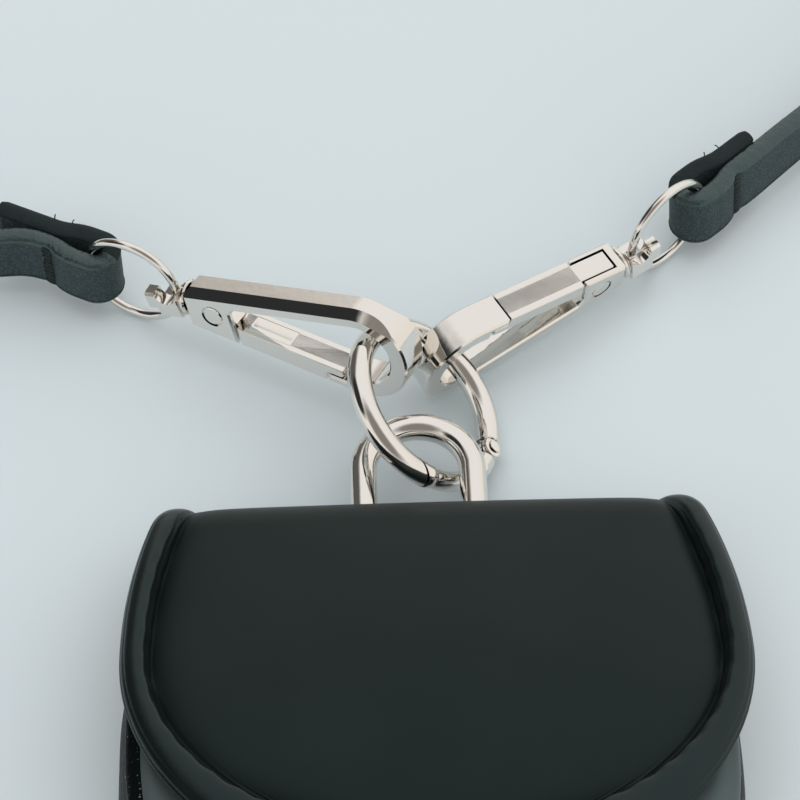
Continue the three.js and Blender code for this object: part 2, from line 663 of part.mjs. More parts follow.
function strap() {
  const path = strapRoute();
  const leftRun = route([0, 0], 0, foldedEnd(LEFT_STRAP.tail)).length;
  const rightRun = route([0, 0], 0, foldedEnd(RIGHT_STRAP.tail)).length;
  const lift = STRAP_RING.z - STRAP.wide / 2;
  return reshape(grid(path.stations.length - 1, 1), (fs, fx, fz) => {
    const s = station(path.stations, fs);
    const p = path.at(s);
    const fromEnd = Math.min(s - leftRun, path.length - s - rightRun);
    const rise = lift * (1 - smoothstep(fromEnd, 0, STRAP.riseRun));
    return new THREE.Vector3(
      p.u - fx * STRAP.thick * Math.sin(p.angle), p.v + fx * STRAP.thick * Math.cos(p.angle),
      rise + (fz + 0.5) * STRAP.wide,
    );
  });
}

// Assembly

const bag = new THREE.Group();

function piece(name, geometry, material, parent = bag) {
  const mesh = new THREE.Mesh(geometry, material);
  mesh.name = name;
  parent.add(mesh);
  return mesh;
}

piece('back_panel', backPanel(), BLACK_LEATHER);
piece('gusset', gusset(), BLACK_LEATHER);
piece('front_panel', frontPanel(), BLACK_LEATHER);
piece('flap', flap(), BLACK_LEATHER);
piece('flap_binding', flapBinding(), BLACK_LEATHER);
piece('arch_ring', archRing(), NICKEL);

const ring = new THREE.Group();
ring.position.set(...RING.centre);
ring.rotation.set(0, rad(RING.tilt), rad(RING.bearing), 'ZYX');
const bow = new THREE.Group();
bow.rotation.z = rad(RING.spin);
ring.add(bow);
bag.add(ring);
piece('spring_ring', springRing(), NICKEL, bow);
piece('spring_ring_gate', springRingGate(), NICKEL, bow);
piece('spring_ring_pin', springRingPin(), NICKEL, bow);

for (const [name, side, ends] of [['left', LEFT, LEFT_STRAP], ['right', RIGHT, RIGHT_STRAP]]) {
  const clasp = placed(new THREE.Group(), side, side.roll);
  const swivel = placed(new THREE.Group(), side, 0);
  bag.add(clasp, swivel);
  piece(`${name}_hook`, hook(), NICKEL, clasp);
  piece(`${name}_gate`, gate(), NICKEL, clasp);
  piece(`${name}_gate_pin`, gatePin(), NICKEL, clasp);
  piece(`${name}_swivel_eye`, swivelEye(), NICKEL, swivel);
  const loop = piece(`${name}_strap_ring`,
    new THREE.TorusGeometry(STRAP_RING.radius, STRAP_RING.wire, SIDES.strapWire, SIDES.strapRing), NICKEL);
  loop.position.copy(strapRingCentre(side, ends));
  loop.rotation.set(Math.PI / 2, 0, rad(ends.bearing), 'ZYX');
}

piece('strap', strap(), STRAP_LEATHER);

export default bag;
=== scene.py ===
"""Mini bag on a pale floor: the look of the leather, the polished metal and the strap."""
import math

import bmesh
import bpy
import numpy as np
from mathutils import Matrix, Vector


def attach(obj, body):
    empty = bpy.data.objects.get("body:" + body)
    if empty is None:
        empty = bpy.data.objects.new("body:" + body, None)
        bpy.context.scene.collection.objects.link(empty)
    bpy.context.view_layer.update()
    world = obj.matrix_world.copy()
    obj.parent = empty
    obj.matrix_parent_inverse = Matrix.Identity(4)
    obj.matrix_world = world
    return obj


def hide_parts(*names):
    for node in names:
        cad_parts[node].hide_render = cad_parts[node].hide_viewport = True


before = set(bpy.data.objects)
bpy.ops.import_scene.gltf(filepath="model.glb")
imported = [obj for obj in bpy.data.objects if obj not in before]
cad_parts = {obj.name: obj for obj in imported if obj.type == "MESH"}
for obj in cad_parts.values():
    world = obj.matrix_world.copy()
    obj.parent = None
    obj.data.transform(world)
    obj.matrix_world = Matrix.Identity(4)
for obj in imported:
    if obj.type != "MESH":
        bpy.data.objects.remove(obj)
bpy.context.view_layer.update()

MM = 0.001
rad = math.radians

# Sizes in millimetres, as in the part

GAP = 0.3
LEATHER = 1.6
BODY = dict(half=43.5, wide_y=4, up=50, down=45, squareness=2.8)
BACK_TOP_Y = 23.7
FRONT_TOP_Y = 26
FRONT_INSET = 2.2
FRONT_DEPTH = 3
GUSSET = dict(top=28, back=2.4, back_inset=0.6, front_inset=2.9, bulge=0.9, seam=0.6)
FLAP = dict(thick=2, half=43.2, top_half=36, down=38, crown=1.6, back_run=8, front_run=62, shift_x=1.1)
ROLL = dict(y=32, z=9.5, radius=8.4, turn=166)
FRONT_TURN = 18
SKIRT = dict(length=16, turn=20)
RIM = dict(wide=4.1, low_wide=9.2, high=4, lift=0.5, top_high=2.2, start_turn=50, lead_in=2, swell_run=8,
           skew=0.08, low_skew=0.34, skew_ease=0.6, dent_up=0.6, overlap=0.9, pull=0.035)
ARCH = dict(wire=2, half=8.05, z=10.1, top_y=56.8, foot_y=36.3, foot_head=3.5, foot_thick=1.4)
RING = dict(radius=12.7, wire=1.8, centre=(1.5, 60.4, 10.8), tilt=40.6, bearing=-4, spin=-11,
            mouth=-82, mouth_gap=0.35, mouth_lap=14, lever=1.55)
# Where the ring's lever swells to its full-size ends, in degrees from its hinge end and from the mouth
LEVER_END = dict(hinge=(14, 11), mouth=(11, 8))
KNUCKLE = dict(radius=1.75, edge=0.35, slot=0.95, eye=1.65, tongue=0.6, tongue_half=1.4, tongue_root=1,
               clear=2.15)
RING_PIN = dict(radius=0.45, reach=2, head_radius=1.1, head_thick=0.4, tip=0.1)
CLASP = dict(length=38, end_high=6.8, wedge=18, thick=5.4, arm=2.9, edge=0.3, block=7.8, fillet=1,
             end_cut=1.1, mouth_x=22.7, mouth_gap=0.35)
CHAMFER = dict(leg=1.3, fade=-62, clear=16)
SLOT = dict(start=1.3, half=1.9, floor=-1.7)
GATE = dict(root_half=1.6, half=2.5, thick=2.9, web=0.9, wall=0.9, heel_x=1.75, root_radius=1.8,
            root_from=171, root_to=288, edge=0.12)
LEVER_X = 8.3
CHANNEL = dict(start=9.3, end=16.5)
TONGUE = dict(lip=1.3, gap=0.3, reach=2.6, clear=0.45)
PIN = dict(x=4.6, z=1, radius=0.8, head_radius=1.6, head_thick=0.35, sink_radius=1.9, sink=0.55,
           rim=0.1, round=0.15, crown=0.02, crown_radius=0.3)
EYE = dict(stem=1.1, bore=1.4, head_to=2.3, collar=2.8, collar_from=-1.3, collar_to=-0.4, neck=2.3,
           length=5.6, wide=5.8, high=4.4, hole_x=-3.9, saddle=(-3.3, 2.6), saddle_radius=1.9, hole=1.5,
           hole_front=0.85, hole_back=1.6, plate_from=0.4, back_top=-1.2, plate_rise=0.4, corner=0.3,
           notch=(-5.3, 1.3, -0.3))
# Edge breaks of the swivel eye's turned part, and how far its parts run into each other
EYE_EDGE = dict(front=0.3, front_run=0.2, back=0.35, back_run=0.1, neck_run=0.5, neck_taper=0.1, root_run=0.7,
                core=0.2, lap=0.1, beyond=0.2)
LEFT = dict(at=(-32.96, 82.85, 9.95), heading=-27.6, pitch=19, roll=173)
RIGHT = dict(at=(32.25, 89, 7.7), heading=-147.6, pitch=-5.8, roll=-12)
STRAP_RING = dict(radius=7.9, wire=0.7, z=8.65, reach=7.3)
STRAP = dict(wide=9.4, thick=3, loop_radius=110, rise_run=60, splay_run=5, left_run=14, right_run=34)
FOLD = dict(radius=2.5, slack=0.35, run=1.9, pinch=3.2, pinch_turn=17, tack=0.3)
LEFT_STRAP = dict(bearing=153.5, splay=27, tail=9.5)
RIGHT_STRAP = dict(bearing=41, splay=-4, tail=6)

# The photo's camera
CAMERA = dict(target=(-1.88, 69.51, 0), azimuth=2, elevation=53, distance=450, lens=131.6, sensor=36)


def camera_direction():
    level, turn = rad(CAMERA["elevation"]), rad(CAMERA["azimuth"])
    return Vector((-math.cos(level) * math.sin(turn), -math.cos(level) * math.cos(turn), math.sin(level)))


# Shader trees

class Value:
    """A number in a shader tree; arithmetic on it adds Math nodes."""

    def __init__(self, tree, socket):
        self.tree, self.socket = tree, socket

    def math(self, operation, *others):
        return self.tree.value(self.tree.node("ShaderNodeMath", dict(operation=operation), self, *others))

    def __add__(self, other):
        return self.math("ADD", other)

    __radd__ = __add__

    def __sub__(self, other):
        return self.math("SUBTRACT", other)

    def __rsub__(self, other):
        return self.math("MULTIPLY_ADD", -1, other)

    def __mul__(self, other):
        return self.math("MULTIPLY", other)

    __rmul__ = __mul__

    def smooth(self, low, high):
        """0 to 1 as the value goes from low to high, eased at both ends."""
        return self.tree.value(self.tree.node("ShaderNodeMapRange", dict(interpolation_type="SMOOTHSTEP"),
                                              Value=self, From_Min=low, From_Max=high))


class Tree:
    """Builds one node tree: node() adds any node, with its settings, then inputs in order or by name."""

    def __init__(self, tree):
        self.tree = tree
        tree.nodes.clear()

    def feed(self, value, socket):
        """Gives a socket a value of the tree, another node's output or a constant."""
        if isinstance(value, Value):
            value = value.socket
        if isinstance(value, bpy.types.NodeSocket):
            self.tree.links.new(value, socket)
        else:
            socket.default_value = value

    def node(self, kind, settings=None, *ordered, **named):
        node = self.tree.nodes.new(kind)
        for key, value in (settings or {}).items():
            setattr(node, key, value)
        for socket, value in zip(node.inputs, ordered):
            self.feed(value, socket)
        for key, value in named.items():
            self.feed(value, node.inputs[key.replace("_", " ")])
        return node

    def value(self, node, output=0):
        return Value(self, node.outputs[output])

    def place(self):
        return self.node("ShaderNodeTexCoord").outputs["Object"]

    def noise(self, scale, detail=2.0):
        noise = self.node("ShaderNodeTexNoise", Vector=self.place(), Scale=scale, Detail=detail)
        return self.value(noise, "Fac")

    def cells(self, scale):
        return self.value(self.node("ShaderNodeTexVoronoi", Vector=self.place(), Scale=scale), "Distance")

    def mix(self, factor, first, second):
        """Colour between two colours, each a node's output or red, green and blue."""
        node = self.node("ShaderNodeMix", dict(data_type="RGBA"), factor)
        for name, colour in (("A", first), ("B", second)):
            socket = next(s for s in node.inputs if s.name == name and s.type == "RGBA")
            self.feed(colour if isinstance(colour, bpy.types.NodeSocket) else (*colour, 1), socket)
        return next(s for s in node.outputs if s.type == "RGBA")

    def bump(self, height, strength, distance):
        return self.node("ShaderNodeBump", Height=height, Strength=strength, Distance=distance).outputs[0]


def material(name, **constants):
    made = bpy.data.materials.new(name)
    made.use_nodes = True
    tree = Tree(made.node_tree)
    surface = tree.node("ShaderNodeBsdfPrincipled", **constants)
    tree.node("ShaderNodeOutputMaterial", None, surface.outputs[0])

    def feed(**inputs):
        for key, value in inputs.items():
            tree.feed(value, surface.inputs[key.replace("_", " ")])

    return made, tree, feed


COOL = (0.66, 0.95, 0.94, 1)
# Paler, rougher patch of the roll in millimetres, each from none of it to all of it: sideways, along the bag
# and up
PALE_PATCH = dict(side=(9, 1), back=(34, 40), up=(11, 15.5))


def smooth_leather():
    """Black calf with a soft sheen; the roll is paler and rougher in mottled patches between the legs of the
    arch.
    """
    made, tree, feed = material("black_leather", Specular_IOR_Level=0.26, Specular_Tint=COOL)
    cloud = tree.noise(60, 3)
    skin = tree.mix(cloud.smooth(0.3, 0.7), (0.0042, 0.0072, 0.0076), (0.0068, 0.0102, 0.0106))
    place = tree.node("ShaderNodeSeparateXYZ", Vector=tree.place())
    x, y, z = (tree.value(place, axis) * (1 / MM) for axis in "XYZ")
    # Mottled patches on the roll between the legs of the arch, painted paler and made rougher
    near = x.math("ABSOLUTE").smooth(*PALE_PATCH["side"]) * y.smooth(*PALE_PATCH["back"]) * z.smooth(*PALE_PATCH["up"])
    pale_patch = near * tree.noise(260, 2).smooth(0.25, 0.8)
    feed(Base_Color=tree.mix(pale_patch, skin, (0.06, 0.066, 0.065)))
    feed(Roughness=0.44 + 0.1 * (cloud - 0.5) + 0.2 * pale_patch)
    feed(Normal=tree.bump(tree.noise(2600, 2) + 0.6 * tree.cells(1500), 0.1, 0.00005))
    return made


def rim_leather():
    """The same calf drawn tight over the rim, so it shines more."""
    made, tree, feed = material("rim_leather", Specular_IOR_Level=0.4, Specular_Tint=COOL)
    cloud = tree.noise(140, 3)
    feed(Base_Color=tree.mix(cloud, (0.0035, 0.006, 0.0064), (0.0065, 0.0098, 0.0102)))
    feed(Roughness=0.3 + 0.16 * (cloud - 0.5))
    feed(Normal=tree.bump(tree.noise(420, 3) + 0.5 * tree.noise(1900, 2), 0.22, 0.00016))
    return made


def front_painted_reflection():
    """The black calf of the front, under the flap, painted pale grey as a painted reflection of the light on
    it.
    """
    made, tree, feed = material("front_painted_reflection", Specular_IOR_Level=0.4, Specular_Tint=COOL, Roughness=0.38)
    # Pale grey base colour: a painted reflection of the light on the front's smooth calf
    feed(Base_Color=tree.mix(tree.noise(90), (0.06, 0.078, 0.082), (0.085, 0.106, 0.11)))
    feed(Normal=tree.bump(tree.noise(1800), 0.12, 0.00006))
    return made


def grained_leather():
    """Black painted side wall, with sparse pale specks in its grain."""
    made, tree, feed = material("grained_leather", Specular_IOR_Level=0.05, Specular_Tint=COOL)
    speck = tree.noise(2600, 1).smooth(0.71, 0.78)
    feed(Base_Color=tree.mix(speck, (0.0035, 0.005, 0.0055), (0.3, 0.32, 0.32)))
    feed(Roughness=0.3 + 0.25 * tree.noise(900))
    feed(Normal=tree.bump(tree.cells(1300) + 0.5 * tree.noise(2400), 0.35, 0.0002))
    return made


def pebbled_leather():
    """Fine pebbled faces of the strap, darker between the pebbles."""
    made, tree, feed = material("strap_leather", Specular_IOR_Level=0.35, Specular_Tint=COOL)
    pebble = tree.cells(2600)
    feed(Base_Color=tree.mix(pebble.smooth(0.1, 0.6), (0.06, 0.083, 0.09), (0.026, 0.037, 0.041)))
    feed(Roughness=0.5 + 0.15 * tree.noise(700))
    feed(Normal=tree.bump(pebble + 0.4 * tree.noise(3000), 0.5, 0.00014))
    return made


def painted_edge(name, gloss, rough):
    """Edge paint of the strap, wrinkled where the strap is bent."""
    made, tree, feed = material(name, Specular_IOR_Level=gloss, Specular_Tint=COOL)
    cloud = tree.noise(240)
    feed(Base_Color=tree.mix(cloud, (0.012, 0.0175, 0.019), (0.026, 0.034, 0.036)))
    feed(Roughness=rough + 0.16 * cloud)
    feed(Normal=tree.bump(tree.noise(620, 3) + 0.4 * tree.noise(2100, 2), 0.8, 0.0003))
    return made


def polished_nickel():
    """Bright plating, faintly uneven from the polishing."""
    made, tree, feed = material("nickel", Metallic=1.0, Base_Color=(0.80, 0.775, 0.735, 1))
    feed(Roughness=0.045 + 0.06 * tree.noise(180).smooth(0.45, 0.75))
    feed(Normal=tree.bump(tree.noise(300, 2) + 0.2 * tree.noise(1300), 0.15, 0.00018))
    return made


def black_thread():
    made, tree, feed = material("black_thread", Specular_IOR_Level=0.4, Specular_Tint=COOL)
    feed(Base_Color=tree.mix(tree.noise(1500), (0.003, 0.004, 0.0045), (0.011, 0.0135, 0.0145)))
    feed(Roughness=0.4 + 0.2 * tree.noise(1800))
    return made


LEATHER_BLACK = smooth_leather()
LEATHER_RIM = rim_leather()
FRONT_PAINTED_REFLECTION = front_painted_reflection()
LEATHER_GRAIN = grained_leather()
LEATHER_STRAP = pebbled_leather()
EDGE = painted_edge("painted_edge", 1.0, 0.2)
EDGE_MATT = painted_edge("matt_edge", 0.12, 0.42)
NICKEL = polished_nickel()
THREAD = black_thread()


# Meshes

def new_mesh(name, points, faces, marks=None):
    """A mesh from points in millimetres; marks are the faces' material numbers."""
    mesh = bpy.data.meshes.new(name)
    mesh.from_pydata((np.asarray(points, float) * MM).tolist(), [], faces)
    if marks is not None:
        mesh.polygons.foreach_set("material_index", marks)
    work = bmesh.new()
    work.from_mesh(mesh)
    bmesh.ops.recalc_face_normals(work, faces=work.faces)
    work.to_mesh(mesh)
    work.free()
    return mesh


def sweep(rings, loop=False):
    """Points and faces of a skin over rings of points, capped unless it closes on itself."""
    rings = np.asarray(rings, float)
    count, sides, _ = rings.shape
    faces = []
    for i in range(count if loop else count - 1):
        j = (i + 1) % count
        for k in range(sides):
            m = (k + 1) % sides
            faces.append((i * sides + k, i * sides + m, j * sides + m, j * sides + k))
    if not loop:
        faces.append(tuple(range(sides - 1, -1, -1)))
        faces.append(tuple((count - 1) * sides + k for k in range(sides)))
    return rings.reshape(-1, 3), faces


# A bar whose start leans less than this from upright takes another side to begin with
NEARLY_UPRIGHT = 0.1


def tube(points, radius, sides=28, loop=False):
    """Round bar along points, without twist; radius is one number or one for each point."""
    points = np.asarray(points, float)
    if loop:
        ways = np.roll(points, -1, 0) - np.roll(points, 1, 0)
    else:
        ways = np.gradient(points, axis=0)
    ways /= np.linalg.norm(ways, axis=1)[:, None]
    side = np.cross(ways[0], (0.0, 0.0, 1.0))
    if np.linalg.norm(side) < NEARLY_UPRIGHT:
        side = np.cross(ways[0], (1.0, 0.0, 0.0))
    radii = np.broadcast_to(radius, (len(points),))
    angles = np.linspace(0, 2 * math.pi, sides, endpoint=False)
    rings = []
    for point, way, size in zip(points, ways, radii):
        side = side - way * side.dot(way)
        side /= np.linalg.norm(side)
        other = np.cross(way, side)
        rings.append([point + size * (math.cos(a) * side + math.sin(a) * other) for a in angles])
    return sweep(rings, loop)


def lathe(profile, axis, sides=40):
    """Turned solid; profile rows are (run along the axis, radius)."""
    rings = []
    for run, size in profile:
        ring = []
        for a in np.linspace(0, 2 * math.pi, sides, endpoint=False):
            first, second = size * math.cos(a), size * math.sin(a)
            places = dict(x=(run, first, second), y=(first, run, second), z=(first, second, run))
            ring.append(places[axis])
        rings.append(ring)
    return sweep(rings)


# Share of a rounded edge that its middle row is drawn in
EDGE_EASE = 0.3


def rod(radius, low, high, axis, sides=40, edge=0.0):
    """Round bar along an axis, its end edges rounded by edge."""
    if edge <= 0:
        return lathe([(low, radius), (high, radius)], axis, sides)
    ease = EDGE_EASE * edge
    soft = [(low, radius - edge), (low + ease, radius - ease), (low + edge, radius)]
    return lathe(soft + [(low + high - run, size) for run, size in reversed(soft)], axis, sides)


def box(low, high):
    x, y, z = zip(low, high)
    points = [(a, b, c) for a in x for b in y for c in z]
    faces = [(0, 1, 3, 2), (4, 6, 7, 5), (0, 4, 5, 1), (2, 3, 7, 6), (0, 2, 6, 4), (1, 5, 7, 3)]
    return points, faces


def shifted(shape, x=0.0, y=0.0, z=0.0):
    return np.asarray(shape[0], float) + (x, y, z), shape[1]


def merged(*shapes):
    """One mesh's points and faces from several closed shapes that touch or run into each other."""
    points, faces = [], []
    for shape in shapes:
        base = sum(len(p) for p in points)
        points.append(np.asarray(shape[0], float))
        faces += [tuple(base + i for i in face) for face in shape[1]]
    return np.concatenate(points), faces


def carved(shape, cuts=(), keeps=()):
    """The shape after its cuts, as points in millimetres and faces."""
    scene = bpy.context.scene
    body = bpy.data.objects.new("carving", new_mesh("carving", *shape))
    scene.collection.objects.link(body)
    tools = []
    for way, group in (("INTERSECT", keeps), ("DIFFERENCE", cuts)):
        for cut in group:
            tool = bpy.data.objects.new("tool", new_mesh("tool", *cut))
            scene.collection.objects.link(tool)
            tools.append(tool)
            step = body.modifiers.new("cut", "BOOLEAN")
            step.operation, step.solver, step.object = way, "EXACT", tool
    made = body.evaluated_get(bpy.context.evaluated_depsgraph_get()).to_mesh()
    points = np.array([v.co for v in made.vertices]) / MM
    faces = [tuple(p.vertices) for p in made.polygons]
    for thing in (body, *tools):
        bpy.data.objects.remove(thing)
    return points, faces


def turned(shape, matrix):
    points = np.asarray(shape[0], float)
    turn = np.array(matrix.to_3x3())
    return points @ turn.T + np.array(matrix.translation), shape[1]


# Faces that meet at more than this angle keep a crisp edge: by default, on machined pieces and on leather
CRISP = dict(plain=32, machined=12, leather=60)


def piece(name, shape, materials, body, nodes=(), marks=None, sharp=CRISP["plain"]):
    """A finished piece that rides on a body and stands for the nodes named."""
    mesh = new_mesh(name, shape[0], shape[1], marks)
    for made in materials:
        mesh.materials.append(made)
    thing = bpy.data.objects.new(name, mesh)
    bpy.context.scene.collection.objects.link(thing)
    thing.data.polygons.foreach_set("use_smooth", [True] * len(thing.data.polygons))
    thing.data.set_sharp_from_angle(angle=rad(sharp))
    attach(thing, body)
    if nodes:
        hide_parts(*nodes)
    return thing


# Routes of straights and arcs

def along(leg, run):
    angle = leg["angle"] + leg["bend"] * run
    if abs(leg["bend"]) < 1e-9:
        du, dv = run * math.cos(angle), run * math.sin(angle)
    else:
        du = (math.sin(angle) - math.sin(leg["angle"])) / leg["bend"]
        dv = (math.cos(leg["angle"]) - math.cos(angle)) / leg["bend"]
    return dict(u=leg["u"] + du, v=leg["v"] + dv, angle=angle, s=leg["s"] + run)


class Route:
    """A plane route from rows of (length, turn in degrees), left turns positive."""

    def __init__(self, start, heading, rows):
        self.legs = []
        here = dict(u=start[0], v=start[1], angle=rad(heading), s=0.0)
        for length, turn in rows:
            leg = dict(here, length=length, bend=rad(turn) / length)
            self.legs.append(leg)
            here = along(leg, length)
        self.end, self.length = here, here["s"]

    def at(self, s):
        leg = next((one for one in self.legs if s <= one["s"] + one["length"] + 1e-6), self.legs[-1])
        return along(leg, s - leg["s"])


def lerp(a, b, t):
    return a + (b - a) * t


def smoothstep(value, low, high):
    t = np.clip((value - low) / (high - low), 0, 1)
    return t * t * (3 - 2 * t)


def powered(value, power):
    return math.copysign(abs(value) ** power, value)


# Bag body and flap

flap_profile = Route((ROLL["y"] - FLAP["back_run"], ROLL["z"] - ROLL["radius"]), 0, [
    (FLAP["back_run"], 0), (ROLL["radius"] * rad(ROLL["turn"]), ROLL["turn"]),
    (FLAP["front_run"], FRONT_TURN), (SKIRT["length"], SKIRT["turn"]),
])
APEX_S = FLAP["back_run"] + ROLL["radius"] * rad(90)
ROLL_END_S = FLAP["back_run"] + ROLL["radius"] * rad(ROLL["turn"])
FLAP_END_S = ROLL_END_S + FLAP["front_run"]
WIDEST_S = FLAP_END_S - FLAP["down"]
TOP_REACH = (WIDEST_S - APEX_S) / math.sqrt(1 - (FLAP["top_half"] / FLAP["half"]) ** 2)
RIM_START_S = FLAP["back_run"] + ROLL["radius"] * rad(RIM["start_turn"])


def on_flap(s, x, n):
    p = flap_profile.at(s)
    front = smoothstep(s, APEX_S, ROLL_END_S + RIM["swell_run"])
    crown = FLAP["crown"] * front * (x / FLAP["half"]) ** 2
    return x, p["u"] + n * math.sin(p["angle"]), p["v"] - n * math.cos(p["angle"]) - crown


HALVINGS = 40


def front_run_at(y):
    """Run along the flap where its front passes over y, found by halving."""
    low, high = ROLL_END_S, flap_profile.length
    for _ in range(HALVINGS):
        middle = (low + high) / 2
        if flap_profile.at(middle)["u"] > y:
            low = middle
        else:
            high = middle
    return low


def lower_outline(phi, inset):
    power = 2 / BODY["squareness"]
    x = -(BODY["half"] - inset) * powered(math.cos(rad(phi)), power)
    return x, BODY["wide_y"] - (BODY["down"] - inset) * powered(math.sin(rad(phi)), power)


def upper_half(y, inset):
    return (BODY["half"] - inset) * math.sqrt(1 - ((y - BODY["wide_y"]) / BODY["up"]) ** 2)


# Outlines in rows across the bag stop just short of the lower tip, at this turn
TIP_TURN = 87


def body_rows(inset, top_y):
    """Rows of (y, half width) of the bag's outline, from its lower end up."""
    lower = [lower_outline(phi, inset) for phi in np.linspace(TIP_TURN, 0, 40)]
    upper = [(-upper_half(y, inset), y) for y in np.linspace(BODY["wide_y"], top_y, 16)[1:]]
    return [(y, -x) for x, y in lower + upper]


def sheet_section(half, thick, columns, crowd=1.0):
    """Rounded section of a sheet as (x, n) rows, n from its middle; crowd draws columns to its sides."""
    t = thick / 2
    even = np.linspace(-1, 1, columns)
    flat = np.sign(even) * (1 - (1 - np.abs(even)) ** crowd) * (half - t)
    edge = np.radians(np.linspace(60, -60, 5))
    top = [(x, t) for x in flat]
    right = [(half - t + t * math.cos(a), t * math.sin(a)) for a in edge]
    return top + right + [(x, -n) for x, n in reversed(top)] + [(-x, -n) for x, n in right]


BACK_COLUMNS = 12
FRONT_MESH = dict(columns=60, crowd=1.5)
FLAP_MESH = dict(columns=90, crowd=1.9)


def back_panel():
    """The flat back, with marks 1 on its painted edge."""
    rings = [[(x, y, LEATHER / 2 + n) for x, n in sheet_section(half, LEATHER, BACK_COLUMNS)]
             for y, half in body_rows(0, BACK_TOP_Y)]
    shape = sweep(rings)
    sides = len(rings[0])
    flat = [*range(BACK_COLUMNS - 1), *range(sides // 2, sides // 2 + BACK_COLUMNS - 1)]
    marks = [0 if f % sides in flat else 1 for f in range(len(shape[1]) - 2)] + [1, 1]
    return shape, marks


# Painted border of the front panel at the bag's left side, and how far its edge rolls down
BORDER = dict(wide=1.7, drop=1.0)


def front_panel():
    """The front, with marks 1 on the border at its left side."""
    rings, marks = [], []
    for y, half in body_rows(FRONT_INSET, FRONT_TOP_Y):
        s = front_run_at(y)
        ring = []
        for x, n in sheet_section(half, LEATHER, **FRONT_MESH):
            drop = BORDER["drop"] * smoothstep(abs(x), half - 2 * BORDER["wide"], half)
            ring.append(on_flap(s, x, n - FRONT_DEPTH - drop))
            marks.append(1 if x < BORDER["wide"] - half else 0)
        rings.append(ring)
    shape = sweep(rings)
    return shape, marks[:len(shape[1]) - 2] + [0, 0]


def gusset_outline(inset):
    left = [(-upper_half(y, inset), y) for y in np.linspace(GUSSET["top"], BODY["wide_y"], 16)]
    lower = [lower_outline(phi, inset) for phi in np.linspace(0, 180, 90)[1:-1]]
    return left + lower + [(-x, y) for x, y in reversed(left)]


def gusset():
    """Side wall: for each place round the outline, a section from the back to the front and round again."""
    depths = np.linspace(0, 1, 12)
    skins = []
    for skin in (0.0, LEATHER):
        for depth in depths if skin == 0 else depths[::-1]:
            bulge = GUSSET["bulge"] * math.sin(math.pi * depth)
            inset = lerp(GUSSET["back_inset"], GUSSET["front_inset"], depth) - bulge + skin
            line = []
            for x, y in gusset_outline(inset):
                top = on_flap(front_run_at(y), x, -FRONT_DEPTH - LEATHER / 2 - GUSSET["seam"])[2]
                line.append((x, y, lerp(GUSSET["back"], top, depth)))
            skins.append(line)
    return sweep(np.swapaxes(np.array(skins), 0, 1))


def flap_half(s):
    reach = WIDEST_S - max(s, APEX_S)
    return FLAP["half"] * math.sqrt(1 - (reach / TOP_REACH) ** 2)


def rim_across(s):
    reach = WIDEST_S - max(s, APEX_S)
    slope = FLAP["half"] ** 2 * reach / (TOP_REACH ** 2 * flap_half(s))
    return RIM["wide"] * math.hypot(1, slope) + GAP


STITCH = dict(pitch=5.0, length=1.9, wide=0.5, thick=0.45, sink=0.3)
PAD = dict(rise=0.5, valley=1.15, wide=1.9)
FIELD = dict(half=FLAP["half"] - RIM["wide"] - GAP, down=FLAP["down"] - RIM["low_wide"] - GAP)


def rim_low(s):
    """0 along the flap's sides, 1 at its lower end, where the rim is widest."""
    return max(s - WIDEST_S, 0.0) / FLAP["down"]


def rim_wide(s):
    return lerp(RIM["wide"], RIM["low_wide"], rim_low(s) ** 2)


def flap_rows():
    """Rows of (s, half width) of the flap's field, which reaches a little under the rim."""
    rim_start = RIM_START_S - RIM["lead_in"]
    upper = [*np.linspace(0, FLAP["back_run"], 6), *np.linspace(FLAP["back_run"], ROLL_END_S, 44)[1:],
             *np.linspace(ROLL_END_S, WIDEST_S, 44)[1:]]
    rows = [(s, flap_half(s) - rim_across(s) * smoothstep(s, rim_start - RIM["wide"], rim_start))
            for s in upper]
    for phi in np.linspace(0, TIP_TURN, 70)[1:]:
        rows.append((WIDEST_S + FIELD["down"] * math.sin(rad(phi)), FIELD["half"] * math.cos(rad(phi))))
    sewn = RIM["overlap"]
    return [(s + sewn * rim_low(s), half + sewn * smoothstep(s, rim_start, APEX_S)) for s, half in rows]


def rim_path(inset=None):
    """Rows of (s, x, outward s, outward x) along the flap's edge, or its seam with an inset from the rim."""
    left = [(s, -flap_half(s)) for s in
            [*np.linspace(RIM_START_S, ROLL_END_S, 30), *np.linspace(ROLL_END_S, WIDEST_S, 40)[1:]]]
    lower = [(WIDEST_S + FLAP["down"] * math.sin(rad(phi)), -FLAP["half"] * math.cos(rad(phi)))
             for phi in np.linspace(0, 180, 150)[1:-1]]
    path = left + lower + [(s, -x) for s, x in reversed(left)]
    rows = []
    for i, (s, x) in enumerate(path):
        before, after = path[max(i - 1, 0)], path[min(i + 1, len(path) - 1)]
        ds, dx = after[0] - before[0], after[1] - before[1]
        step = math.hypot(ds, dx)
        out_s, out_x = dx / step, -ds / step
        drawn = 0.0 if inset is None else rim_wide(s) + GAP + inset
        rows.append((s - drawn * out_s, x - drawn * out_x, out_s, out_x))
    return rows


SEAM = np.array([row[:2] for row in rim_path(0.0)])


def field_lift(s, x):
    """How far the field stands above the flat sheet: a soft swell, drawn down along the seam."""
    away = np.hypot(SEAM[:, 0] - s, SEAM[:, 1] - x).min()
    if s > WIDEST_S:
        reach = math.hypot(x / FIELD["half"], (s - WIDEST_S) / FIELD["down"])
    else:
        reach = abs(x) / (flap_half(s) - rim_across(s))
    swell = PAD["rise"] * max(0.0, 1 - reach ** 2) * smoothstep(s, APEX_S, ROLL_END_S + RIM["swell_run"])
    valley = PAD["valley"] * math.exp(-away / PAD["wide"])
    return swell - valley * smoothstep(s, APEX_S, ROLL_END_S)


def flap():
    rings = []
    for s, half in flap_rows():
        section = sheet_section(half, FLAP["thick"], **FLAP_MESH)
        rings.append([on_flap(s, x, n + (field_lift(s, x) if n > 0 else 0)) for x, n in section])
    return shifted(sweep(rings), x=FLAP["shift_x"])


